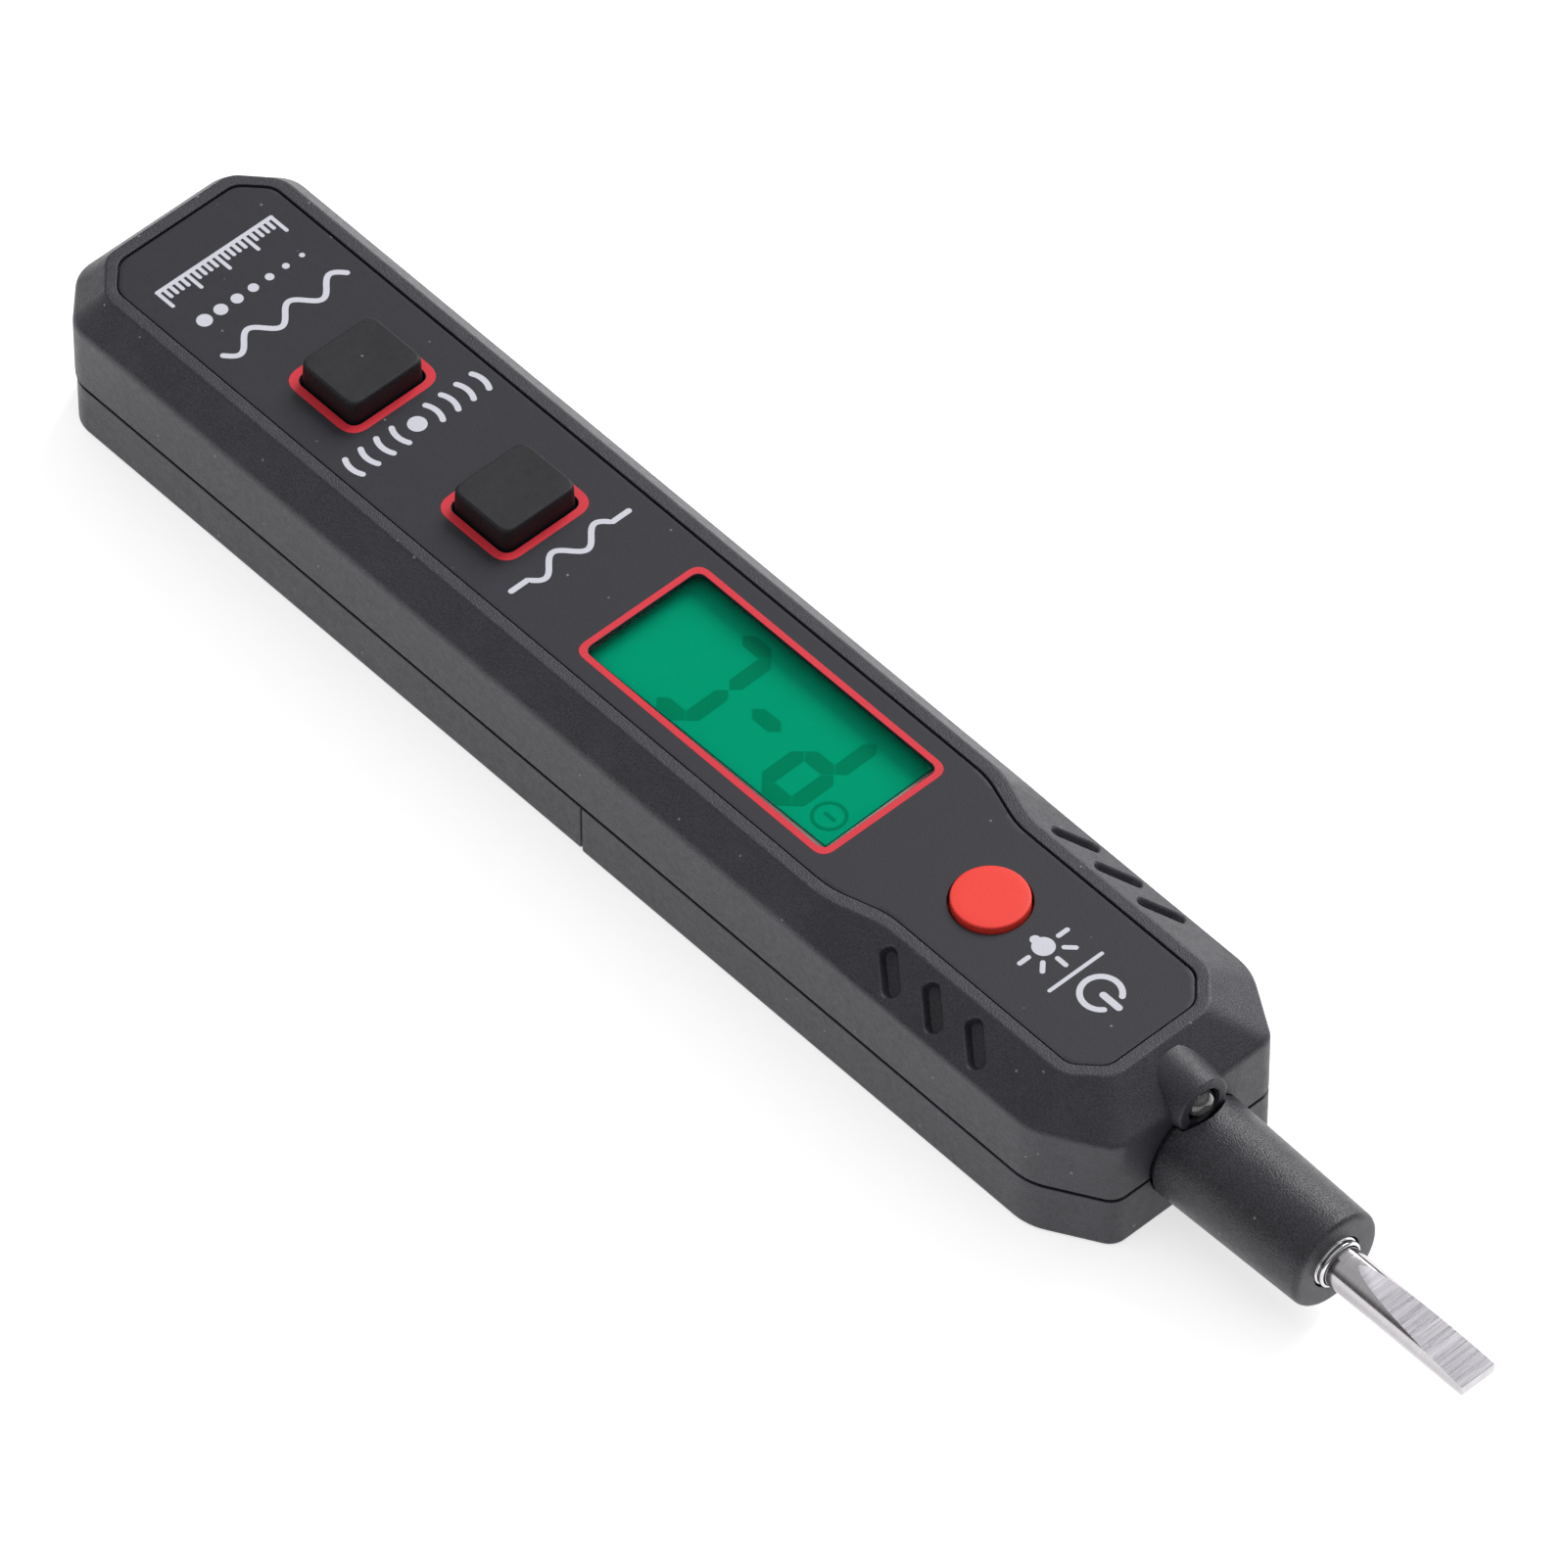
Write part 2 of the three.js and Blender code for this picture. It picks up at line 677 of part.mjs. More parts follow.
function bridgeContact() {
  const z = CELL.z;
  const x = CONTACT_BACK;
  return join(
    block([x, -8.6, z - 3.5], [x + PLATE, 8.6, z + 3.5]),
    cellSpring(x + 0.4, x + SPRING_GAP - 0.4, CELL.y),
  );
}

function frontPlate(y) {
  const z = CELL.z;
  return join(
    block([CONTACT_FRONT, y - 4, z - 3.5], [CONTACT_FRONT + PLATE, y + 4, z + 3.5]),
    block([CONTACT_FRONT, y - 1, z], [CONTACT_FRONT + PLATE, y + 1, TRAY_TOP]),
  );
}

function negativeContact() {
  const coil = cellSpring(CONTACT_FRONT - 0.1, CONTACT_FRONT - SPRING_GAP + 0.3, -CELL.y);
  return join(frontPlate(-CELL.y), coil);
}

function positiveContact() {
  const dimple = turned(
    [[-0.3, 0], [-0.3, 0.9], [0.2, 1.4], [0.2, 0]].map(([x, r]) => [CONTACT_FRONT + x, r]),
    CELL.y,
    CELL.z,
    16,
  );
  return join(frontPlate(CELL.y), dimple);
}

// A pan-head screw along +Z with its head's outer face at the origin and a cross recess in it.
function screw({ head, length }) {
  const body = join(
    post(0, 0, head - 0.3, 0, SCREW_HEAD, BOSS_STEPS),
    post(0, 0, head, 0.35, SCREW_HEAD, BOSS_STEPS),
    post(0, 0, SCREW_SHANK, SCREW_HEAD - 0.1, length, 8),
  );
  const [arm, slot, depth] = [1.1, 0.22, 0.7];
  return cut(
    body,
    block([-arm, -slot, -1], [arm, slot, depth]),
    block([-slot, -arm, -1], [slot, arm, depth]),
  );
}

// ---------------------------------------------------------------- assembly

const tester = new THREE.Group();

const FINISHES = {
  shell: { color: 0x46474b, roughness: 0.55, metalness: 0 },
  panel: { color: 0x404145, roughness: 0.5, metalness: 0 },
  rubber: { color: 0x2b2b2e, roughness: 0.85, metalness: 0 },
  red: { color: 0xff5548, roughness: 0.55, metalness: 0 },
  nozzle: { color: 0x3a3b3f, roughness: 0.6, metalness: 0 },
  steel: { color: 0xc9c6cb, roughness: 0.3, metalness: 1 },
  chrome: { color: 0xdcdce0, roughness: 0.12, metalness: 1 },
  clear: { color: 0xdfe6e2, roughness: 0.08, metalness: 0, transparent: true, opacity: 0.35 },
  display: { color: 0x009a6e, roughness: 0.2, metalness: 0 },
  light: { color: 0x7fe0b4, roughness: 0.5, metalness: 0 },
  white: { color: 0xdedcd2, roughness: 0.6, metalness: 0 },
  board: { color: 0x1f6b3f, roughness: 0.5, metalness: 0 },
  chip: { color: 0x1c1c1e, roughness: 0.6, metalness: 0 },
  tin: { color: 0xb9bcc0, roughness: 0.35, metalness: 1 },
  resistor: { color: 0x8fb6cf, roughness: 0.5, metalness: 0 },
  tray: { color: 0x2e2f32, roughness: 0.7, metalness: 0 },
  cell: { color: 0x3d4a66, roughness: 0.35, metalness: 0.3 },
};

function place(parent, name, body, finish, [x, y, z] = [0, 0, 0]) {
  const mesh = new THREE.Mesh(geometryOf(body), new THREE.MeshStandardMaterial(FINISHES[finish]));
  mesh.name = name;
  mesh.position.set(x, y, z);
  parent.add(mesh);
  return mesh;
}

place(tester, "upper_shell", upperShell(), "shell");
place(tester, "lower_front_shell", lowerFrontShell(), "shell");
place(tester, "battery_cover", batteryCover(), "shell");
place(tester, "face_panel", facePanel(), "panel");

const KEYS = [
  ["connect", CONNECT_X, rubberKey, "rubber"],
  ["voltage", VOLTAGE_X, rubberKey, "rubber"],
  ["power", POWER.x, powerKey, "red"],
];
for (const [name, x, makeKey, finish] of KEYS) {
  const key = new THREE.Group();
  key.position.x = x;
  place(key, `${name}_button`, makeKey(), finish);
  place(key, `${name}_plunger`, switchPlunger(), "chip");
  place(key, `${name}_switch`, switchBody(), "tin");
  tester.add(key);
}

const display = new THREE.Group();
const [DISPLAY_LENGTH, DISPLAY_WIDTH] = [34, 16.4];
const slab = (y, width, z0, z1, length = DISPLAY_LENGTH) =>
  prism(rectangle(DISPLAY_X, y, length, width, 0.3), z0, z1);
place(display, "lcd_window", lens(), "clear");
place(display, "lcd_glass", slab(0, DISPLAY_WIDTH, 14.4, 15.4), "display");
place(display, "lcd_backlight", slab(-0.8, 14.8, 13.6, 14.3), "light");
place(display, "lcd_zebra_strip", slab(7.6, 0.9, 13.4, 14.3, 30), "chip");
place(display, "lcd_frame", lcdFrame(), "white");
tester.add(display);

place(tester, "nozzle", nozzle(), "nozzle");
place(tester, "tip_ferrule", ferrule(), "chrome");
place(tester, "screwdriver_blade", blade(), "steel");
place(tester, "probe_spring", spring(38.8, SHAFT.back - 0.5, 1.6, 1.6, 5, 0.5, 0, PROBE_Z), "tin");
place(tester, "torch_led", lamp(), "clear");

const board = new THREE.Group();
place(board, "circuit_board", circuitBoard(), "board");
place(board, "controller_chip", chip(7, 7), "chip", [-3, 0, 0]);
place(board, "sense_amplifier_chip", chip(5, 4), "chip", [8, 4, 0]);
place(board, "safety_resistor", resistor(), "resistor");
place(board, "probe_contact", probeContact(), "tin");
tester.add(board);

const power = new THREE.Group();
const flatEndRight = CONTACT_FRONT - 0.4 - CELL.length;
const flatEndLeft = CONTACT_BACK + 0.5 + CELL.length;
place(power, "battery_tray", batteryTray(), "tray");
place(power, "battery_right", cell(), "cell", [flatEndRight, CELL.y, CELL.z]);
const reversed = place(power, "battery_left", cell(), "cell", [flatEndLeft, -CELL.y, CELL.z]);
reversed.rotation.z = Math.PI;
place(power, "battery_bridge_contact", bridgeContact(), "tin");
place(power, "battery_negative_contact", negativeContact(), "tin");
place(power, "battery_positive_contact", positiveContact(), "tin");
tester.add(power);

TRAY_SCREWS.forEach(([x, y], i) => {
  const headZ = TRAY_TOP - TRAY - FIT - SCREW_HEAD;
  place(tester, `tray_screw_${i + 1}`, screw(TRAY_SCREW), "tin", [x, y, headZ]);
});
SHELL_SCREWS.forEach(([x, y], i) => {
  place(tester, `shell_screw_${i + 1}`, screw(SHELL_SCREW), "tin", [x, y, 0.7]);
});

export default tester;
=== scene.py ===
"""Looks of a pen-shaped voltage tester, built around its packed model.

Shapes are worked out in millimetres, in the model's own frame: +X to the screwdriver tip, +Z out of
the display face. They become metres when a mesh is made.
"""

import json
import math
from types import SimpleNamespace

import bmesh
import bpy
from mathutils import Matrix, Vector

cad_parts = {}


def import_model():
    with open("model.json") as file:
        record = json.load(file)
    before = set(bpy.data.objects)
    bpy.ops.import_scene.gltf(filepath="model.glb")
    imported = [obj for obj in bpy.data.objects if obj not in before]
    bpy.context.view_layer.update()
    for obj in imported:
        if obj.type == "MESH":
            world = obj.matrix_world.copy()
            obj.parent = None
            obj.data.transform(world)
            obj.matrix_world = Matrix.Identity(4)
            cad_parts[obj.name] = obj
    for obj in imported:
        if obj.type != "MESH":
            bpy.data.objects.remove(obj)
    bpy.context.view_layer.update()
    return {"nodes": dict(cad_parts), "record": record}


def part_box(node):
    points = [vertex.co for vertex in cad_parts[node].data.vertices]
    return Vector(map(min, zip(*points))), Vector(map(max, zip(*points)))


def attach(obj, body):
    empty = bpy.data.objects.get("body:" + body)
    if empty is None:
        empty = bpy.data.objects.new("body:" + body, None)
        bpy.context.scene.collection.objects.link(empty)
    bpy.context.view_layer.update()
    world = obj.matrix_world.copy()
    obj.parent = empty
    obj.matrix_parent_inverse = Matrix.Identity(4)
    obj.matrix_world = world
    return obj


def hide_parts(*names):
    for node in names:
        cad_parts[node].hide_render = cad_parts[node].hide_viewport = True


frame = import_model()
MM = 0.001


def node_box(name):
    """Lowest and highest corner of a node of the packed model, in millimetres."""
    low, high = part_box(name)
    return low / MM, high / MM


# ---------------------------------------------------------------- dimensions, in millimetres

SHELL_LOW, SHELL_HIGH = node_box("upper_shell")
COVER_HIGH = node_box("battery_cover")[1]
PANEL_LOW, PANEL_HIGH = node_box("face_panel")
WINDOW_LOW, WINDOW_HIGH = node_box("lcd_window")
GLASS_LOW, GLASS_HIGH = node_box("lcd_glass")

TAIL_X = SHELL_LOW.x
NOSE_X = node_box("lower_front_shell")[1].x
DISPLAY_X = (WINDOW_LOW.x + WINDOW_HIGH.x) / 2
HALF = SHELL_HIGH.y
RIM_Z = SHELL_HIGH.z
SHOULDER_Z = RIM_Z - 3.4  # where the walls turn into the chamfer
SPLIT_Z = SHELL_LOW.z
LOWER_TOP = COVER_HIGH.z
PANEL_Z = PANEL_HIGH.z
POCKET_Z = PANEL_LOW.z - 0.1  # floor of the shallow pocket that the panel lies in
GROOVE = 0.16  # around the panel

WALL_THICKNESS = 1.5
FRONT_FLOOR = 1.3
COVER_THICKNESS = 1.2
COVER_INSET = 0.15  # how far the cover's wall stands in from the wall above it
SEAM_GAP = 0.3
SEAM_X = COVER_HIGH.x + SEAM_GAP / 2
SILL = SimpleNamespace(slack=0.05, depth=0.8, low=0.7)  # it closes the seam from inside
TONGUE = SimpleNamespace(inner=11.45, outer=12.5, back=-80, low=5.2)  # on the cover, over a rail
COVER_RIBS = SimpleNamespace(back=-33, count=5, pitch=2.4, length=1.2, width=12, round=0.5)

# Half outlines from tail to nose as (x, half width, setback of the rounded corner).
WALL_HALF = [
    (TAIL_X, HALF - 4.75, 1.5),
    (TAIL_X + 4.8, HALF, 1.5),
    (15.7, HALF, 1.5),
    (21.4, HALF, 1.5),
    (NOSE_X - 7.1, HALF, 1.8),
    (NOSE_X, HALF - 4.25, 1.2),
]
RIM_HALF = [
    (TAIL_X + 2.7, 7.6, 1.2),
    (TAIL_X + 6.6, 11, 1.2),
    (15.7, 11, 1.5),
    (21.4, 9.1, 1.5),
    (NOSE_X - 7.8, 9.1, 1.2),
    (NOSE_X - 4.4, 5.8, 1.2),
]
PANEL_HALF = [
    (TAIL_X + 4, 7.1, 0.9),
    (TAIL_X + 6.7, 9.65, 0.9),
    (15, 9.65, 1.5),
    (20.8, 7.8, 1.5),
    (NOSE_X - 8.3, 7.8, 0.9),
    (NOSE_X - 5.7, 5.3, 0.9),
]

KEYS = ["connect", "voltage"]
KEY = SimpleNamespace(length=7.8, width=9.1, round=1.15, slack=0.15, flange=0.9)
FLANGE_THICKNESS = 0.3  # of a key's flange under the panel
POWER_RADIUS = 3.7
WINDOW = SimpleNamespace(length=32, width=14, round=1, flange=0.85)
GRIP_X = [24.8, 30.4, 36]
GRIP = SimpleNamespace(length=4.8, width=1.9, depth=1.1, round=0.9, draft=0.3, slant=1.07)

PROBE_Z = 7
NECK = SimpleNamespace(back=49, radius=5.25)
NOZZLE = SimpleNamespace(collar=5.4, collar_front=50.8, neck=4.95, back=5.5, front=5.1)
FERRULE = SimpleNamespace(back=66.1, radius=2.6)
SHAFT_RADIUS = 2.1
GRIND = SimpleNamespace(back=73.8, half_tip=0.45)
LAMP_Z = 13.3
LAMP = SimpleNamespace(radius=1.5, bore=1.7, flange=1.6, lead=0.25, lead_y=1.27)
HOOD = SimpleNamespace(front=SHELL_HIGH.x, back=49, radius=2.9)

CORNER_STEPS = 8  # straight pieces in a rounded corner of an outline
EASE_STEPS = 5  # straight pieces across an eased edge
ROUND = 96  # straight pieces in a full circle

# ---------------------------------------------------------------- outlines


def both_sides(half):
    """Both sides of a half outline, going round anticlockwise."""
    return [(x, -y, setback) for x, y, setback in half] + half[::-1]


def rectangle(x, y, length, width, setback):
    a, b = length / 2, width / 2
    signs = [(-1, -1), (1, -1), (1, 1), (-1, 1)]
    return [(x + i * a, y + j * b, setback) for i, j in signs]


def inset(corners, distance):
    """The same corners moved inwards, square to the edges that meet there."""
    moved = []
    for i, (x, y, setback) in enumerate(corners):
        here = Vector((x, y))
        into = (here - Vector(corners[i - 1][:2])).normalized()
        away = (Vector(corners[(i + 1) % len(corners)][:2]) - here).normalized()
        reach = distance / (1 + into.dot(away))
        moved.append((x - (into.y + away.y) * reach, y + (into.x + away.x) * reach, setback))
    return moved


def bend(before, corner, after, setback, t):
    """A point on the curve that cuts a corner off between two places at a setback from it."""
    start = corner + (before - corner) * min(0.49, setback / (before - corner).length)
    end = corner + (after - corner) * min(0.49, setback / (after - corner).length)
    return start * (1 - t) ** 2 + corner * 2 * t * (1 - t) + end * t**2


def ring(corners, z):
    """The rounded outline as points at one height."""
    points = []
    for i, (x, y, setback) in enumerate(corners):
        here = Vector((x, y, z))
        before = Vector((*corners[i - 1][:2], z))
        after = Vector((*corners[(i + 1) % len(corners)][:2], z))
        for k in range(CORNER_STEPS + 1):
            points.append(bend(before, here, after, setback, k / CORNER_STEPS))
    return points


def circle(x, y, radius, z, steps=ROUND):
    turns = [2 * math.pi * i / steps for i in range(steps)]
    return [Vector((x + radius * math.cos(a), y + radius * math.sin(a), z)) for a in turns]


# ---------------------------------------------------------------- solids


def eased(stations, steps=EASE_STEPS):
    """The rings of a loft, with the edge at each station of (ring, ease) rounded off."""
    rings = []
    for i, (here, ease) in enumerate(stations):
        if not ease:
            rings.append(here)
            continue
        before, after = stations[i - 1][0], stations[(i + 1) % len(stations)][0]
        for k in range(steps + 1):
            columns = zip(before, here, after)
            rings.append([bend(b, p, a, ease, k / steps) for b, p, a in columns])
    return rings


def skin(rings, closed=False):
    """Points and faces of the surface through some rings, capped at its ends unless closed."""
    count = len(rings[0])
    points = [point for one in rings for point in one]
    faces = []
    for r in range(len(rings) if closed else len(rings) - 1):
        low, high = r * count, (r + 1) % len(rings) * count
        for i in range(count):
            j = (i + 1) % count
            faces.append((low + i, low + j, high + j, high + i))
    if not closed:
        last = (len(rings) - 1) * count
        faces.append(tuple(reversed(range(count))))
        faces.append(tuple(range(last, last + count)))
    return points, faces


def loft(stations, steps=EASE_STEPS):
    return skin(eased(stations, steps))


def prism(corners, z0, z1):
    return skin([ring(corners, z0), ring(corners, z1)])


def post(x, y, radius, z0, z1, steps=ROUND):
    return skin([circle(x, y, radius, z0, steps), circle(x, y, radius, z1, steps)])


def block(low, high):
    (x0, y0, z0), (x1, y1, z1) = low, high
    corners = [(x0, y0), (x1, y0), (x1, y1), (x0, y1)]
    return skin([[Vector((x, y, z)) for x, y in corners] for z in (z0, z1)])


def around_x(profile, y=0, z=PROBE_Z, steps=ROUND):
    """Circles about a line along X, as stations from (x, radius, ease) points."""
    stations = []
    for x, radius, ease in profile:
        around = circle(y, z, radius, 0, steps)
        stations.append(([Vector((x, p.x, p.y)) for p in around], ease))
    return stations


def turned(profile, **axis):
    """A solid of revolution along X, capped at both ends."""
    return loft(around_x(profile, **axis))


def bored(profile):
    """A turned solid with a hole through it: the points go round its section."""
    return skin(eased(around_x(profile)), closed=True)


def moved(shape, matrix):
    points, faces = shape
    return [matrix @ point for point in points], faces


def turned_upright(profile, x, y, steps=ROUND):
    """A solid of revolution about Z from (radius, z, ease) points."""
    return loft([(circle(x, y, radius, z, steps), ease) for radius, z, ease in profile])


def bar(y0, y1, x0, x1, z0, z1, hand):
    """A block along X on one side of the middle."""
    low, high = sorted((hand * y0, hand * y1))
    return block((x0, low, z0), (x1, high, z1))


# ---------------------------------------------------------------- meshes and pieces


def mesh_object(name, *shapes):
    """One object holding some closed shapes, each facing out, in metres."""
    bm = bmesh.new()
    for points, faces in shapes:
        made = [bm.verts.new(point * MM) for point in points]
        for face in faces:
            bm.faces.new([made[i] for i in face])
    bmesh.ops.recalc_face_normals(bm, faces=bm.faces)
    mesh = bpy.data.meshes.new(name)
    bm.to_mesh(mesh)
    bm.free()
    thing = bpy.data.objects.new(name, mesh)
    bpy.context.scene.collection.objects.link(thing)
    return thing


def boolean(thing, shapes, operation):
    """Joins shapes to an object or cuts them out of it."""
    tools = bpy.data.collections.new("tools")
    helpers = [mesh_object(f"tool{i}", shape) for i, shape in enumerate(shapes)]
    for helper in helpers:
        bpy.context.scene.collection.objects.unlink(helper)
        tools.objects.link(helper)
    step = thing.modifiers.new("boolean", "BOOLEAN")
    step.operation = operation
    step.solver = "MANIFOLD"
    step.operand_type = "COLLECTION"
    step.collection = tools
    graph = bpy.context.evaluated_depsgraph_get()
    result = bpy.data.meshes.new_from_object(thing.evaluated_get(graph))
    thing.modifiers.clear()
    thing.data = result
    for helper in helpers:
        bpy.data.objects.remove(helper)
    bpy.data.collections.remove(tools)


def cut(thing, *shapes):
    boolean(thing, shapes, "DIFFERENCE")


def join(thing, *shapes):
    boolean(thing, shapes, "UNION")


def piece(thing, body, material, replaces=(), sharp=32):
    """Gives an object its finish, smooth shading between sharp edges, and its body."""
    thing.data.materials.clear()
    thing.data.materials.append(material)
    thing.data.shade_smooth()
    thing.data.set_sharp_from_angle(angle=math.radians(sharp))
    normals = thing.modifiers.new("flat faces stay flat", "WEIGHTED_NORMAL")
    normals.keep_sharp = True
    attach(thing, body)
    if replaces:
        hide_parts(*replaces)


# ---------------------------------------------------------------- materials


def node_material(name):
    """A new material as its name, its node tree and its Principled shader."""
    material = bpy.data.materials.new(name)
    material.use_nodes = True
    tree = material.node_tree
    return material, tree, tree.nodes["Principled BSDF"]


def add(tree, kind, **values):
    """A new node with attributes and input values set by name."""
    node = tree.nodes.new(kind)
    for key, value in values.items():
        if key in node.inputs:
            node.inputs[key].default_value = value
        else:
            setattr(node, key, value)
    return node


def place(tree, scale=(1, 1, 1)):
    """Coordinates on the object in metres, stretched by a scale."""
    spot = tree.nodes.new("ShaderNodeTexCoord")
    mapping = add(tree, "ShaderNodeMapping", Scale=scale)
    tree.links.new(spot.outputs["Object"], mapping.inputs["Vector"])
    return mapping.outputs["Vector"]


def noise(tree, where, per_mm, detail=3.0, roughness=0.5):
    node = add(tree, "ShaderNodeTexNoise", Scale=per_mm / MM, Detail=detail, Roughness=roughness)
    tree.links.new(where, node.inputs["Vector"])
    return node.outputs["Fac"]


def between(tree, factor, low, high, from_low=0.3, from_high=0.7):
    """A number that runs from low to high as the factor does."""
    node = tree.nodes.new("ShaderNodeMapRange")
    tree.links.new(factor, node.inputs["Value"])
    names = ["From Min", "From Max", "To Min", "To Max"]
    for key, value in zip(names, (from_low, from_high, low, high)):
        node.inputs[key].default_value = value
    return node.outputs["Result"]


def mixed(tree, factor, low, high):
    """A colour between two others, each a colour or an output."""
    node = tree.nodes.new("ShaderNodeMix")
    node.data_type = "RGBA"
    colours = [socket for socket in node.inputs if socket.type == "RGBA"]
    tree.links.new(factor, node.inputs["Factor"])
    for socket, value in zip(colours, (low, high)):
        if isinstance(value, bpy.types.NodeSocket):
            tree.links.new(value, socket)
        else:
            socket.default_value = (*value, 1)
    return next(socket for socket in node.outputs if socket.type == "RGBA")


def bump(tree, height, distance_mm):
    node = add(tree, "ShaderNodeBump", Strength=1.0, Distance=distance_mm * MM)
    tree.links.new(height, node.inputs["Height"])
    return node.outputs["Normal"]


def shade(colour, share):
    return tuple(min(1, c * share) for c in colour)


def dust(tree, where, share):
    """A mask of a few small specks scattered over the surface."""
    cells = add(tree, "ShaderNodeTexVoronoi", Scale=0.4 / MM)
    tree.links.new(where, cells.inputs["Vector"])
    near = between(tree, cells.outputs["Distance"], 0.7, 0, 0.025, 0.07)
    pick = tree.nodes.new("ShaderNodeSeparateColor")
    tree.links.new(cells.outputs["Color"], pick.inputs["Color"])
    kept = add(tree, "ShaderNodeMath", operation="LESS_THAN")
    kept.inputs[1].default_value = share
    tree.links.new(pick.outputs["Red"], kept.inputs[0])
    both = add(tree, "ShaderNodeMath", operation="MULTIPLY")
    tree.links.new(near, both.inputs[0])
    tree.links.new(kept.outputs[0], both.inputs[1])
    return both.outputs[0]


def surface(
    name,
    colour,
    roughness,
    metallic=0.0,
    variation=0.1,
    grain=0.004,
    grain_per_mm=7.0,
    stretch=(1, 1, 1),
    specks=0.0,
    **sockets,
):
    """A moulded, rubbery or metal surface with mottled colour, uneven gloss, grain and dust."""
    material, tree, shader = node_material(name)
    where = place(tree, stretch)
    mottle = noise(tree, where, 0.35, 5)
    fine = noise(tree, where, grain_per_mm, 2)
    both = add(tree, "ShaderNodeMath", operation="MULTIPLY_ADD")
    both.inputs[1].default_value = 0.3
    tree.links.new(mottle, both.inputs[0])
    tree.links.new(fine, both.inputs[2])
    patchy = between(tree, both.outputs[0], 0, 1, 0.5, 0.8)
    hue = mixed(tree, patchy, shade(colour, 1 - variation), shade(colour, 1 + variation))
    if specks:
        hue = mixed(tree, dust(tree, place(tree), specks), hue, (0.3, 0.3, 0.31))
    tree.links.new(hue, shader.inputs["Base Color"])
    gloss = between(tree, noise(tree, where, 1.3, 4), roughness - 0.05, roughness + 0.05)
    tree.links.new(gloss, shader.inputs["Roughness"])
    tree.links.new(bump(tree, fine, grain), shader.inputs["Normal"])
    shader.inputs["Metallic"].default_value = metallic
    for key, value in sockets.items():
        shader.inputs[key.replace("_", " ")].default_value = value
    return material


def ground_steel():
    """Steel ground across: fine lines over the blade in its colour, its gloss and its relief."""
    material, tree, shader = node_material("steel")
    across = place(tree, (1, 0.02, 0.02))
    lines = noise(tree, across, 7, 3, 0.6)
    hue = mixed(tree, between(tree, lines, 0, 1), (0.3, 0.29, 0.32), (0.52, 0.5, 0.53))
    tree.links.new(hue, shader.inputs["Base Color"])
    gloss = between(tree, noise(tree, across, 3, 2), 0.24, 0.36)
    tree.links.new(gloss, shader.inputs["Roughness"])
    tree.links.new(bump(tree, lines, 0.03), shader.inputs["Normal"])
    shader.inputs["Metallic"].default_value = 1
    return material


FINISHES = {
    "shell": surface(
        "shell", (0.031, 0.03, 0.04), 0.46, variation=0.4, grain=0.05, grain_per_mm=6.5, specks=0.6
    ),
    "panel": surface(
        "panel",
        (0.016, 0.016, 0.024),
        0.46,
        grain=0.008,
        grain_per_mm=6,
        specks=0.8,
        Specular_IOR_Level=0.43,
    ),
    "rubber": surface(
        "rubber",
        (0.009, 0.009, 0.012),
        0.6,
        grain=0.012,
        grain_per_mm=5,
        specks=0.8,
        Specular_IOR_Level=0.42,
    ),
    "dark_plastic": surface("dark_plastic", (0.012, 0.012, 0.014), 0.5),
    "tin": surface("tin", (0.6, 0.61, 0.63), 0.28, metallic=1, stretch=(1, 1, 3)),
    "red_key": surface(
        "red_key", (0.97, 0.058, 0.042), 0.5, variation=0.03, specks=0.4, Specular_IOR_Level=0.3
    ),
    "window": surface("window", (0.01, 0.02, 0.02), 0.06, variation=0.02, grain=0.0002, Alpha=0.03),
    "display": surface(
        "display", (0.0, 0.38, 0.2), 0.3, variation=0.05, grain=0.0003, Specular_IOR_Level=0.0
    ),
    "segment": surface(
        "segment", (0.0, 0.25, 0.12), 0.3, variation=0.05, grain=0.0003, Specular_IOR_Level=0.0
    ),
    "glass_edge": surface("glass_edge", (0.42, 0.38, 0.34), 0.25, grain=0.001),
    "light_guide": surface("light_guide", (0.25, 0.7, 0.45), 0.4),
    "white_plastic": surface("white_plastic", (0.5, 0.47, 0.4), 0.5),
    "nozzle": surface(
        "nozzle", (0.028, 0.027, 0.035), 0.38, variation=0.6, grain=0.07, grain_per_mm=6, specks=1.0
    ),
    "ferrule": surface("ferrule", (0.7, 0.69, 0.71), 0.14, metallic=1, variation=0.03, grain=0.001),
    "lamp": surface(
        "lamp", (0.1, 0.1, 0.1), 0.05, variation=0.3, grain=0.0004, Alpha=0.9, Coat_Weight=1.0
    ),
    "board": surface("board", (0.014, 0.14, 0.05), 0.35),
    "resistor": surface("resistor", (0.27, 0.47, 0.62), 0.35),
    "tray": surface("tray", (0.024, 0.025, 0.028), 0.55),
    "cell": surface("cell", (0.03, 0.06, 0.16), 0.3),
    "steel": ground_steel(),
    "polished": surface(
        "polished",
        (0.52, 0.5, 0.52),
        0.14,
        metallic=1,
        variation=0.05,
        grain=0.001,
        grain_per_mm=3,
        stretch=(3, 0.3, 0.3),
    ),
    "print_white": surface("print_white", (0.68, 0.68, 0.76), 0.5, variation=0.03, grain=0.001),
    "print_red": surface(
        "print_red", (0.76, 0.034, 0.055), 0.5, variation=0.05, grain=0.001, Specular_IOR_Level=0.3
    ),
}


# ---------------------------------------------------------------- casing

WALL = both_sides(WALL_HALF)
RIM = both_sides(RIM_HALF)
PANEL = both_sides(PANEL_HALF)


def front_part(corners, seam):
    """The stretch of an outline ahead of a seam, with its own corners at the seam."""
    return [(seam, corners[1][1], 0.2)] + corners[4:8] + [(seam, corners[10][1], 0.2)]


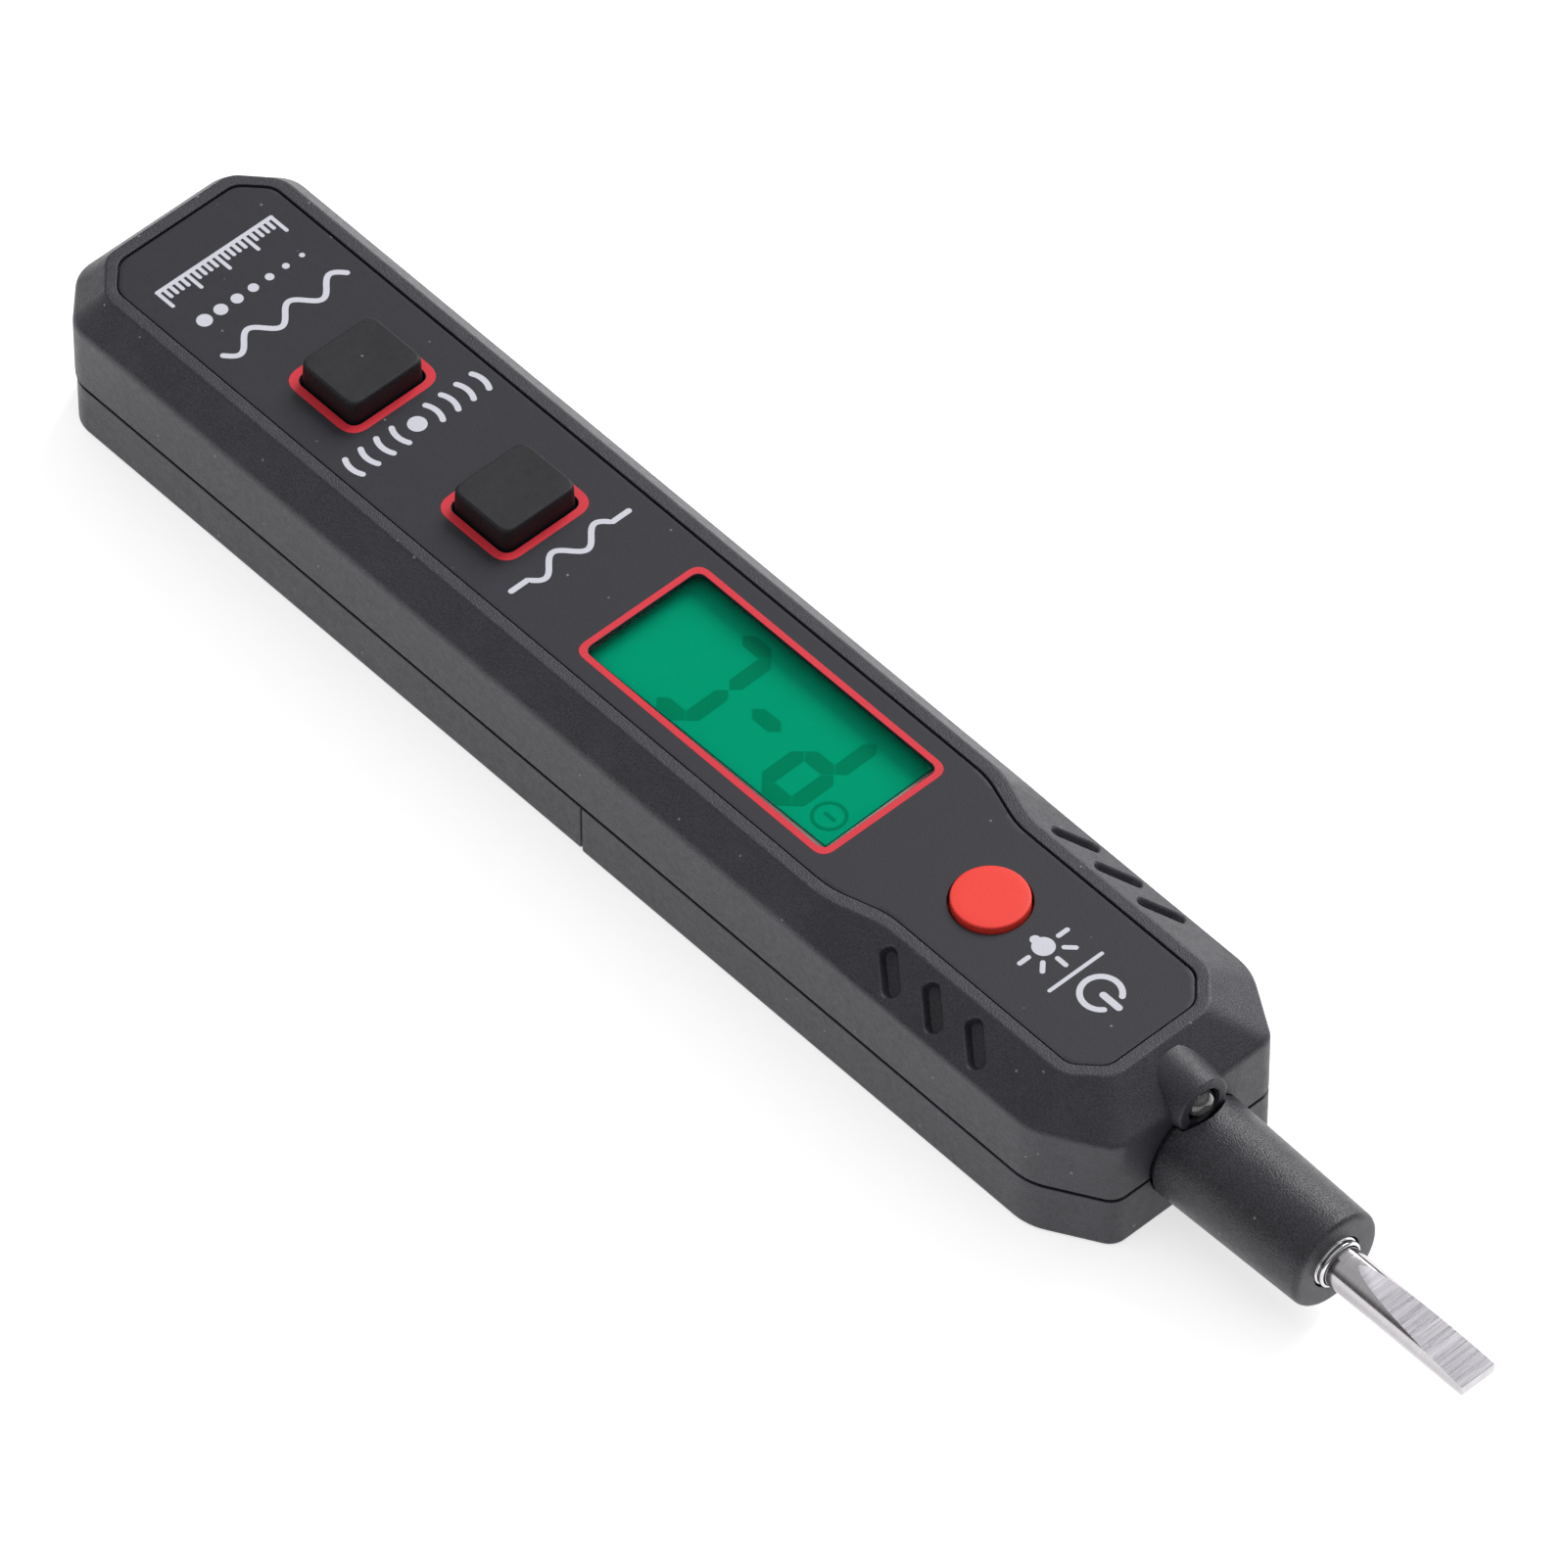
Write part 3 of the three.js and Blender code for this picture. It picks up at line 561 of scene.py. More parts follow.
def rear_part(corners, seam):
    """The stretch of an outline behind a seam."""
    return corners[:2] + [(seam, corners[1][1], 0.2), (seam, corners[10][1], 0.2)] + corners[10:]


def key_x(name):
    low, high = node_box(f"{name}_plunger")
    return ((low + high) / 2).x


def grown(x, size, grow):
    """A rounded outline of a given size, with its middle at x, grown all round."""
    length, width = size.length + 2 * grow, size.width + 2 * grow
    return rectangle(x, 0, length, width, size.round + grow / 2)


def key_corners(name, grow=0.0):
    return grown(key_x(name), KEY, grow)


def window_corners(grow=0.0):
    return grown(DISPLAY_X, WINDOW, grow)


def opening(corners, z0, z1, ease=0.12):
    """A cutter for an opening through a face at z1, with its mouth eased."""
    return loft(
        [
            (ring(corners, z0), 0),
            (ring(corners, z1 - ease), ease / 2),
            (ring(inset(corners, -ease), z1 + 0.001), 0),
            (ring(inset(corners, -ease), z1 + 2), 0),
        ],
        3,
    )


def round_opening(x, radius, z0, z1, ease=0.12):
    profile = [(radius, z0, 0), (radius, z1 - ease, ease / 2), (radius + ease, z1 + 0.001, 0)]
    return turned_upright(profile + [(radius + ease, z1 + 2, 0)], x, 0)


def face_openings(z0, z1, window_grow, ease):
    """Cutters for the keys and the window, through a face at z1."""
    cutters = [opening(key_corners(name, KEY.slack), z0, z1, ease) for name in KEYS]
    cutters.append(round_opening(key_x("power"), POWER_RADIUS + 0.2, z0, z1, ease))
    cutters.append(opening(window_corners(window_grow), z0, z1, ease))
    return cutters


def grip_slot(x, hand):
    """A cutter for one finger slot in the chamfer, slanting forwards, with soft edges."""
    rim_y, wall_y = RIM_HALF[3][1], WALL_HALF[3][1]
    slope = Vector((wall_y - rim_y, SHOULDER_Z - RIM_Z)).normalized()
    along = Vector((GRIP.slant, hand * slope.x, slope.y)).normalized()
    outward = Vector((0, -hand * slope.y, slope.x))
    across = outward.cross(along)
    turn = Matrix((along, across, outward)).transposed().to_4x4()
    turn.translation = Vector((x, hand * (rim_y + wall_y) / 2, (RIM_Z + SHOULDER_Z) / 2))
    mouth = rectangle(0, 0, GRIP.length, GRIP.width, GRIP.round)
    floor = inset(mouth, GRIP.draft)
    slot = loft(
        [
            (ring(inset(floor, 0.4), -GRIP.depth), 0),
            (ring(floor, -GRIP.depth), 0.22),
            (ring(inset(mouth, 0.04), -0.14), 0.12),
            (ring(inset(mouth, -0.12), 0.02), 0),
            (ring(inset(mouth, -0.12), 1), 0),
        ]
    )
    return moved(slot, turn)


def neck_hole():
    """A cutter for the round hole in the nose, eased at its mouth."""
    mouth = [(NOSE_X - 0.25, NECK.radius, 0.12), (NOSE_X + 0.02, NECK.radius + 0.25, 0)]
    return turned([(NECK.back, NECK.radius, 0)] + mouth)


def upper_shell():
    shell = mesh_object(
        "top_shell",
        loft(
            [
                (ring(inset(RIM, 1.1), 15.5), 0),
                (ring(inset(WALL, WALL_THICKNESS), 13), 0.8),
                (ring(inset(WALL, WALL_THICKNESS), SPLIT_Z), 0.15),
                (ring(WALL, SPLIT_Z), 0.15),
                (ring(WALL, SHOULDER_Z), 0.5),
                (ring(RIM, RIM_Z), 0.2),
                (ring(inset(PANEL, -GROOVE / 2), RIM_Z), 0.1),
                (ring(inset(PANEL, -GROOVE / 2), POCKET_Z), 0),
            ]
        ),
    )
    hood = turned(
        [
            (HOOD.back, HOOD.radius + 0.6, 0),
            (HOOD.front, HOOD.radius, 0.25),
            (HOOD.front, LAMP.bore, 0),
        ],
        z=LAMP_Z,
    )
    join(shell, hood)
    lamp_bore = turned(
        [
            (44, LAMP.bore, 0),
            (HOOD.front - 0.35, LAMP.bore, 0.12),
            (HOOD.front + 0.02, LAMP.bore + 0.2, 0),
            (HOOD.front + 1, LAMP.bore + 0.2, 0),
        ],
        z=LAMP_Z,
    )
    inside = block((45, -5, 5), (NOSE_X - WALL_THICKNESS, 5, 13))
    openings = face_openings(10, POCKET_Z, 0.9, 0.05)
    slots = [grip_slot(x, hand) for x in GRIP_X for hand in (-1, 1)]
    cut(shell, inside, lamp_bore, neck_hole(), *openings, *slots)
    piece(shell, "casing", FINISHES["shell"], ["upper_shell"])


def face_panel():
    panel = mesh_object(
        "printed_panel",
        loft(
            [
                (ring(inset(PANEL, GROOVE / 2), PANEL_LOW.z), 0),
                (ring(inset(PANEL, GROOVE / 2), PANEL_Z), 0.1),
                (ring(inset(PANEL, GROOVE / 2 + 0.5), PANEL_Z), 0),
            ],
            3,
        ),
    )
    cut(panel, *face_openings(PANEL_LOW.z - 1, PANEL_Z, 0, 0.06))
    piece(panel, "casing", FINISHES["panel"], ["face_panel"])


def seam_sill(rear):
    """A low rim on the front shell that closes the seam from inside."""
    x0, x1 = rear - SEAM_GAP + SILL.slack, rear + 0.3
    half = HALF - SILL.depth
    inner = HALF - WALL_THICKNESS - 0.1
    sides = [bar(inner, half, x0, x1, 1, LOWER_TOP - 0.6, hand) for hand in (-1, 1)]
    return [*sides, block((x0, -half, SILL.low), (x1, half, FRONT_FLOOR + 0.02))]


def lower_front_shell():
    rear = SEAM_X + SEAM_GAP / 2
    outline = front_part(WALL, rear)
    inner, step = inset(outline, WALL_THICKNESS), LOWER_TOP - 0.25
    shell = mesh_object(
        "front_under_shell",
        loft(
            [
                (ring(inset(outline, 2), FRONT_FLOOR), 0),
                (ring(inner, FRONT_FLOOR + 0.5), 0.3),
                (ring(inner, LOWER_TOP), 0.15),
                (ring(inset(outline, 1), LOWER_TOP), 0),
                (ring(inset(outline, 1), step), 0),
                (ring(outline, step), 0.1),
                (ring(outline, 0), 0.5),
                (ring(inset(outline, 2), 0), 0),
            ]
        ),
    )
    boxes = [node_box(f"shell_screw_{i}") for i in (1, 2, 3)]
    screws = [(low + high) / 2 for low, high in boxes]
    inside = FRONT_FLOOR - 0.3
    towers = [post(at.x, at.y, 3, inside, LOWER_TOP - 0.3, 48) for at in screws]
    bulkhead = block((rear, -10.3, inside), (rear + 1.2, 10.3, 11.4))
    hooks = [block((rear - 3, y - 2, 10.4), (rear + 0.5, y + 2, 11.4)) for y in (-5, 5)]
    join(shell, bulkhead, *hooks, *seam_sill(rear), *towers)
    pocket = [(2.5, -1, 0), (2.5, 0.001, 0), (2.2, 0.3, 0.1), (2.2, 2, 0)]
    holes = []
    for at in screws:
        holes.append(turned_upright(pocket, at.x, at.y, 48))
        holes.append(post(at.x, at.y, 1.1, 1, 10, 32))
    cut(shell, neck_hole(), *holes)
    piece(shell, "casing", FINISHES["shell"], ["lower_front_shell"])


def finger_rib(start):
    """A cutter for one groove of the finger grip under the cover."""
    length, width = COVER_RIBS.length, COVER_RIBS.width
    shape = rectangle(start + length / 2, 0, length, width, COVER_RIBS.round)
    return loft(
        [
            (ring(inset(shape, -0.25), -1), 0),
            (ring(inset(shape, -0.25), 0), 0),
            (ring(shape, 0.25), 0.1),
            (ring(inset(shape, 0.3), 0.5), 0),
        ]
    )


def battery_cover():
    walls = inset(WALL, COVER_INSET)
    outline = rear_part(walls, COVER_HIGH.x)
    hollow = inset(rear_part(walls, COVER_HIGH.x + 5), COVER_THICKNESS)
    top = LOWER_TOP - 0.5
    cover = mesh_object(
        "sliding_cover",
        loft(
            [
                (ring(inset(outline, 2), top), 0),
                (ring(outline, top), 0.1),
                (ring(outline, 0), 0.5),
                (ring(inset(outline, 2), 0), 0),
            ]
        ),
    )
    cut(cover, prism(hollow, COVER_THICKNESS, 20))
    inner, outer, back, low = vars(TONGUE).values()
    front = COVER_HIGH.x - 0.4
    join(cover, *[bar(inner, outer, back, front, low, LOWER_TOP, hand) for hand in (-1, 1)])
    starts = [COVER_RIBS.back + COVER_RIBS.pitch * i for i in range(COVER_RIBS.count)]
    cut(cover, *[finger_rib(start) for start in starts])
    piece(cover, "rear_cover", FINISHES["shell"], ["battery_cover"])


upper_shell()
face_panel()
lower_front_shell()
battery_cover()

# ---------------------------------------------------------------- keys


def rubber_key(name):
    low, high = node_box(f"{name}_button")
    body = key_corners(name)
    flange, step = inset(body, -KEY.flange), low.z + FLANGE_THICKNESS
    key = mesh_object(
        f"{name}_rubber_key",
        loft(
            [
                (ring(flange, low.z), 0),
                (ring(flange, step), 0),
                (ring(body, step), 0.1),
                (ring(inset(body, 0.12), high.z), 0.38),
                (ring(inset(body, 2.2), high.z - 0.03), 0.5),
                (ring(inset(body, 3.2), high.z - 0.06), 0),
            ],
            7,
        ),
    )
    piece(key, f"{name}_key", FINISHES["rubber"], [f"{name}_button"], 50)


def power_key():
    low, high = node_box("power_button")
    radius, flange, step = POWER_RADIUS, POWER_RADIUS + KEY.flange, low.z + FLANGE_THICKNESS
    profile = [
        (flange, low.z, 0),
        (flange, step, 0),
        (radius, step, 0.1),
        (radius, high.z - 0.02, 0.22),
        (2.4, high.z, 0.4),
        (0.4, high.z, 0),
    ]
    key = mesh_object("power_round_key", turned_upright(profile, ((low + high) / 2).x, 0))
    piece(key, "power_key", FINISHES["red_key"], ["power_button"], 50)


for key_name in KEYS:
    rubber_key(key_name)
power_key()

# ---------------------------------------------------------------- probe


def nozzle():
    """The front tube, with room above its root for the lamp and its leads."""
    low, high = node_box("nozzle")
    root = NOSE_X + SEAM_GAP
    bore, mouth = SHAFT_RADIUS + 0.15, FERRULE.radius + 0.15
    tube_piece = mesh_object(
        "nose_tube",
        bored(
            [
                (low.x, bore, 0),
                (low.x, NOZZLE.collar, 0),
                (NOZZLE.collar_front, NOZZLE.collar, 0),
                (NOZZLE.collar_front, NOZZLE.neck, 0),
                (root, NOZZLE.neck, 0.1),
                (root, NOZZLE.back, 0.2),
                (high.x, NOZZLE.front, 0.75),
                (high.x, mouth, 0.1),
                (FERRULE.back, mouth, 0),
                (FERRULE.back, bore, 0),
            ]
        ),
    )
    relief = [(0.08, HOOD.radius + 0.1, 0.05), (0.5, 2.2, 0.3), (0.9, 1.1, 0.3), (1.1, 0.1, 0)]
    room_profile = [(50.5, HOOD.radius + 0.5, 0)] + [(HOOD.front + x, r, e) for x, r, e in relief]
    lamp_room = turned(room_profile, z=LAMP_Z)
    leads_room = turned([(43, 2, 0), (51, 2, 0)], z=LAMP_Z)
    cut(tube_piece, lamp_room, leads_room)
    piece(tube_piece, "casing", FINISHES["nozzle"], ["nozzle"])


def ferrule():
    low, high = node_box("tip_ferrule")
    front, radius, bore = high.x, FERRULE.radius, SHAFT_RADIUS + 0.1
    collar = mesh_object(
        "ribbed_collar",
        bored(
            [
                (low.x, bore, 0),
                (low.x, radius, 0),
                (front - 0.75, radius, 0.08),
                (front - 0.68, radius - 0.2, 0.05),
                (front - 0.5, radius - 0.25, 0.08),
                (front - 0.4, radius - 0.1, 0.08),
                (front - 0.15, radius - 0.12, 0.08),
                (front, radius - 0.3, 0.06),
                (front, bore, 0.05),
            ]
        ),
    )
    piece(collar, "casing", FINISHES["ferrule"], ["tip_ferrule"])


def blade():
    """The round shaft, polished, and its two ground flats."""
    low, high = node_box("screwdriver_blade")
    profile = [
        (low.x, 1.7, 0.1),
        (low.x + 0.5, SHAFT_RADIUS, 0.1),
        (high.x - 0.05, SHAFT_RADIUS, 0.05),
        (high.x, SHAFT_RADIUS - 0.3, 0),
    ]
    shaft = mesh_object("ground_blade", turned(profile))
    past = high.x + 1
    section = [(GRIND.back, SHAFT_RADIUS), (past, GRIND.half_tip), (past, 5), (GRIND.back, 5)]
    wedges = []
    for hand in (-1, 1):
        ends = [[Vector((x, y, PROBE_Z + hand * z)) for x, z in section] for y in (-5, 5)]
        wedges.append(skin(ends))
    cut(shaft, *wedges)
    piece(shaft, "casing", FINISHES["steel"], ["screwdriver_blade"], 20)
    shaft.data.materials.append(FINISHES["polished"])
    for face in shaft.data.polygons:
        ahead, large = face.center.x > GRIND.back * MM, face.area > 20 * MM * MM
        flat = ahead and large and abs(face.normal.z) > 0.98
        face.material_index = 0 if flat else 1


def lamp():
    """The lamp's lens with its domed front, and the cup and leads inside it."""
    low, high = node_box("torch_led")
    radius, flange, back = LAMP.radius, LAMP.flange, low.x + 5.4
    dome = high.x - radius
    profile = [(back, flange, 0.1), (low.x + 6.2, flange, 0.1), (low.x + 6.2, radius, 0)]
    for i in range(9):
        angle = i / 9 * math.pi / 2
        profile.append((dome + radius * math.sin(angle), radius * math.cos(angle), 0))
    bulb = mesh_object("lamp_lens", turned(profile, z=LAMP_Z, steps=48))
    piece(bulb, "casing", FINISHES["lamp"], ["torch_led"], 40)
    cup_profile = [(-2.2, 0.3), (-1.4, 0.35), (-0.5, 0.8), (-0.8, 0.5), (-1.0, 0.1)]
    cup = turned([(dome + x, r, 0) for x, r in cup_profile], z=LAMP_Z, steps=32)
    wire = [(low.x, LAMP.lead, 0), (dome - 1.5, LAMP.lead, 0)]
    leads = [turned(wire, y=hand * LAMP.lead_y, z=LAMP_Z, steps=12) for hand in (-1, 1)]
    lead_frame = mesh_object("lamp_lead_frame", cup, *leads)
    piece(lead_frame, "casing", FINISHES["tin"])


nozzle()
ferrule()
blade()
lamp()

# ---------------------------------------------------------------- display

GLASS = SimpleNamespace(length=34, width=16.4)
POLARISER = SimpleNamespace(x=-5.7, y=1.05, length=31.4, width=13.8, thickness=0.2)
CROOKED = math.radians(0.86)  # the polariser was stuck on a little askew
DIGIT_X = [-11.35, -4.4, 2.55]
DIGIT_LIT = ["abcd", "g", "bcdeg"]
SEGMENT = SimpleNamespace(width=1.65, gap=0.12, reach_x=1.95, reach_y=5.35, middle_y=0.45)
ICON = SimpleNamespace(x=7.7, y=-3.2, radius=1.75, stroke=0.36, dash=1.4)
INK = 0.015  # height of a printed line above what it is printed on


def plate(points, z0, z1):
    return skin([[Vector((x, y, z)) for x, y in points] for z in (z0, z1)])


def bar_with_points(x, y, length, width, upright):
    """The outline of a segment: a bar with a point at each end."""
    a, b = length / 2, width / 2
    outline = [(-a, 0), (b - a, -b), (a - b, -b), (a, 0), (a - b, b), (b - a, b)]
    return [(x - v, y + u) if upright else (x + u, y + v) for u, v in outline]


def segments_of(x):
    """The seven segments of a digit at x, by letter."""
    reach_x, reach_y, y = SEGMENT.reach_x, SEGMENT.reach_y, SEGMENT.middle_y
    flat, tall, wide = 2 * reach_x - SEGMENT.gap, reach_y - SEGMENT.gap, SEGMENT.width
    spots = {
        "a": (x, y + reach_y, flat, False),
        "b": (x + reach_x, y + reach_y / 2, tall, True),
        "c": (x + reach_x, y - reach_y / 2, tall, True),
        "d": (x, y - reach_y, flat, False),
        "e": (x - reach_x, y - reach_y / 2, tall, True),
        "f": (x - reach_x, y + reach_y / 2, tall, True),
        "g": (x, y, flat, False),
    }
    outlines = {}
    for key, (a, b, length, upright) in spots.items():
        outlines[key] = bar_with_points(a, b, length, wide, upright)
    return outlines


def display():
    """The display glass, the green sheet stuck on it, and the dark segments and icon."""
    top = GLASS_HIGH.z
    corners = rectangle(DISPLAY_X, 0, GLASS.length, GLASS.width, 0.3)
    glass = mesh_object("display_glass", prism(corners, GLASS_LOW.z, top - POLARISER.thickness))
    piece(glass, "casing", FINISHES["glass_edge"], ["lcd_glass"])
    turn = Matrix.Translation((DISPLAY_X, 0, 0)) @ Matrix.Rotation(CROOKED, 4, "Z")
    turn = turn @ Matrix.Translation((-DISPLAY_X, 0, 0))
    sheet = rectangle(POLARISER.x, POLARISER.y, POLARISER.length, POLARISER.width, 0.2)
    polariser = mesh_object(
        "display_polariser",
        moved(
            loft(
                [
                    (ring(sheet, top - POLARISER.thickness), 0),
                    (ring(sheet, top), 0.04),
                    (ring(inset(sheet, 0.2), top), 0),
                ],
                2,
            ),
            turn,
        ),
    )
    piece(polariser, "casing", FINISHES["display"])
    shapes = []
    for x, lit in zip(DIGIT_X, DIGIT_LIT):
        made = segments_of(x)
        shapes += [moved(plate(made[key], top, top + INK), turn) for key in lit]
    x, y, radius, stroke, dash = vars(ICON).values()
    outer = [circle(x, y, radius, z, 48) for z in (top, top + INK)]
    inner = [circle(x, y, radius - stroke, z, 48) for z in (top + INK, top)]
    shapes.append(moved(skin(outer + inner, closed=True), turn))
    shapes.append(moved(plate(box_outline(x + 0.1, y, dash, 0.35), top, top + INK), turn))
    lit_segments = mesh_object("display_segments", *shapes)
    piece(lit_segments, "casing", FINISHES["segment"])


def box_outline(x, y, length, width):
    a, b = length / 2, width / 2
    return [(x - a, y - b), (x + a, y - b), (x + a, y + b), (x - a, y + b)]


def window():
    low, high = WINDOW_LOW, WINDOW_HIGH
    flange, step = rectangle(DISPLAY_X, 0, high.x - low.x, high.y - low.y, 1), low.z + WINDOW.flange
    raised = window_corners(-0.2)
    lens = mesh_object(
        "clear_window",
        loft(
            [
                (ring(flange, low.z), 0.05),
                (ring(flange, step), 0.05),
                (ring(raised, step), 0.05),
                (ring(raised, high.z), 0.1),
                (ring(inset(raised, 1), high.z), 0),
            ],
            3,
        ),
    )
    piece(lens, "casing", FINISHES["window"], ["lcd_window"])


display()
window()

# ---------------------------------------------------------------- printed marks

STROKE = 0.6
RING_SIZE = SimpleNamespace(length=9.9, width=11.3, round=2.1)
WINDOW_RING = SimpleNamespace(length=33.5, width=15.5, round=1.5)
MARK_HEIGHT = 2.5
LAMP_SIGN = SimpleNamespace(x=32.9, y=-0.15, radius=1.1, cap=1.6)
RAY = (1.85, 2.9)  # where the lamp's rays start and end
POWER_SIGN = SimpleNamespace(x=40.3, y=-0.05, radius=1.93, opening=36)
SOUND = SimpleNamespace(dot=0.95, radius=2.4, pitch=1.9, count=4)
TICK = SimpleNamespace(short=1.2, tall=2.2, stroke=0.4)
MARK_X = SimpleNamespace(
    scale=-78.6, dots=-74.2, wave=-69.75, sound=-51.4, short_wave=-30.45, divider=37
)


def ribbon(path, width=STROKE, round_steps=5):
    """A flat printed strip with round ends along a path of (x, y) points."""
    points = [Vector((x, y, 0)) for x, y in path]
    half = width / 2
    stations = []
    for i, here in enumerate(points):
        along = (points[min(i + 1, len(points) - 1)] - points[max(i - 1, 0)]).normalized()
        stations.append((here, along, half))
    turns = [math.pi / 2 * (k + 0.3) / round_steps for k in range(round_steps)]
    ends = []
    for (here, along, _), hand in ((stations[0], -1), (stations[-1], 1)):
        out = along * hand * half
        ends.append([(here + out * math.cos(a), along, half * math.sin(a)) for a in turns])
    stations = ends[0] + stations + ends[1][::-1]
    up = Vector((0, 0, 1))
    low, high = up * (PANEL_Z - INK), up * (PANEL_Z + INK)
    rings = []
    for here, along, reach in stations:
        side = up.cross(along) * reach
        rings.append([here - side + low, here + side + low, here + side + high, here - side + high])
    return skin(rings)


def disc(x, y, radius):
    return post(x, y, radius, PANEL_Z - INK, PANEL_Z + INK, 48)


def border(outer, inner):
    """A printed line between two outlines with the same number of corners."""
    low, high = PANEL_Z - INK, PANEL_Z + INK
    return skin([ring(outer, low), ring(outer, high), ring(inner, high), ring(inner, low)], True)


def red_borders():
    """A red line around each rubber key and around the window."""
    shapes = []
    for name in KEYS:
        outer = grown(key_x(name), RING_SIZE, 0)
        shapes.append(border(outer, key_corners(name, KEY.slack + 0.08)))
    shapes.append(border(grown(DISPLAY_X, WINDOW_RING, 0), window_corners(0.08)))
    borders = mesh_object("red_borders", *shapes)
    piece(borders, "casing", FINISHES["print_red"])


def arc(x, y, radius, start, end, count=40):
    """Points on an arc, with its angles in degrees from +X."""
    turns = [math.radians(start + (end - start) * i / count) for i in range(count + 1)]
    return [(x + radius * math.cos(a), y + radius * math.sin(a)) for a in turns]


def lamp_sign():
    """A small bulb with rays on its far side."""
    x, y, radius, cap = vars(LAMP_SIGN).values()
    shapes = [disc(x, y, radius), ribbon([(x, y), (x - cap + 0.5, y)], 1)]
    for degrees in (-90, -45, 0, 45, 90):
        way = Vector((math.cos(math.radians(degrees)), math.sin(math.radians(degrees))))
        spoke = [(x + way.x * r, y + way.y * r) for r in RAY]
        shapes.append(ribbon(spoke, 0.5))
    return shapes


def power_sign():
    """An open circle with a stroke through its opening."""
    x, y, radius, opening = vars(POWER_SIGN).values()
    return [
        ribbon(arc(x, y, radius, opening, 360 - opening)),
        ribbon([(x + 0.3, y), (x + 2.3, y)], 0.72),
    ]


def wave(x, half_length, periods, straight=0.0):
    """A sine wave across the face, with a straight run at each end."""
    count = 24 * periods
    reach = half_length - straight
    path = [(x, -half_length)] if straight else []
    for i in range(count + 1):
        t = i / count
        swing = math.sin(2 * math.pi * periods * t) * (MARK_HEIGHT - STROKE) / 2
        path.append((x + swing, reach * (2 * t - 1)))
    if straight:
        path.append((x, half_length))
    return [ribbon(path)]


def growing_dots(x, half_length, count):
    """A row of dots across the face, each larger than the last."""
    step = 2 * half_length / (count - 1)
    return [disc(x, half_length - i * step, 0.28 + 0.5 * i / (count - 1)) for i in range(count)]


def graduated_bar(x, half_length, ticks):
    """A scale across the face with every fifth tick a tall one."""
    foot = x - TICK.tall / 2
    shapes = [ribbon([(foot, -half_length), (foot, half_length)], 0.45)]
    for i in range(ticks):
        y = half_length * (2 * i / (ticks - 1) - 1)
        height = TICK.short if i % 5 else TICK.tall
        shapes.append(ribbon([(foot, y), (foot + height, y)], TICK.stroke))
    return shapes


def sounding_dot(x):
    """A dot with sound waves on both sides, for a closed circuit."""
    shapes = [disc(x, 0, SOUND.dot)]
    for hand in (-1, 1):
        for i in range(SOUND.count):
            centre = hand * SOUND.pitch * i
            shapes.append(ribbon(arc(x, centre, SOUND.radius, hand * 60, hand * 120, 12)))
    return shapes


def white_marks():
    groups = [
        lamp_sign(),
        [ribbon([(MARK_X.divider, -3.25), (MARK_X.divider, 3.15)], 0.4)],
        power_sign(),
        wave(MARK_X.wave, 7.6, 3),
        growing_dots(MARK_X.dots, 6, 7),
        graduated_bar(MARK_X.scale, 7, 21),
        sounding_dot(MARK_X.sound),
        wave(MARK_X.short_wave, 7.2, 2, 2),
    ]
    first, *others = [shape for group in groups for shape in group]
    marks = mesh_object("white_marks", first)
    join(marks, *others)
    piece(marks, "casing", FINISHES["print_white"])


red_borders()
white_marks()

# ---------------------------------------------------------------- fastenings and cells


SCREW = SimpleNamespace(head=1.2, shank=0.8, root=0.62, pitch=0.55)
CROSS = SimpleNamespace(mouth=(1.05, 0.2), foot=(0.5, 0.12), depth=0.7)


def cross_recess(x, y, z):
    """Cutters for the two slots of a cross that narrows as it goes up into a screw head."""
    slots = []
    for way in (1, -1):
        levels = []
        for height, size in ((-0.5, CROSS.mouth), (0, CROSS.mouth), (CROSS.depth, CROSS.foot)):
            a, b = size[::way]
            corners = box_outline(x, y, 2 * a, 2 * b)
            levels.append([Vector((u, v, z + height)) for u, v in corners])
        slots.append(skin(levels))
    return slots


def screw(name):
    """A pan-head screw with its head down and a cross recess in it."""
    low, high = node_box(name)
    x, y, _ = (low + high) / 2
    head = (high.x - low.x) / 2
    top = low.z + SCREW.head
    profile = [
        (0.2, low.z, 0),
        (head - 0.35, low.z + 0.06, 0.25),
        (head, low.z + 0.55, 0.25),
        (head, top, 0.05),
        (SCREW.shank, top, 0.1),
    ]
    turns = int((high.z - top - 0.6) / SCREW.pitch)
    for i in range(turns):
        z = top + 0.3 + SCREW.pitch * i
        profile += [(SCREW.root, z, 0), (SCREW.shank, z + 0.25, 0), (SCREW.root, z + 0.5, 0)]
    profile.append((0.2, high.z, 0))
    body = mesh_object(f"{name}_steel", turned_upright(profile, x, y, 40))
    cut(body, *cross_recess(x, y, low.z))
    piece(body, "casing", FINISHES["tin"], [name])


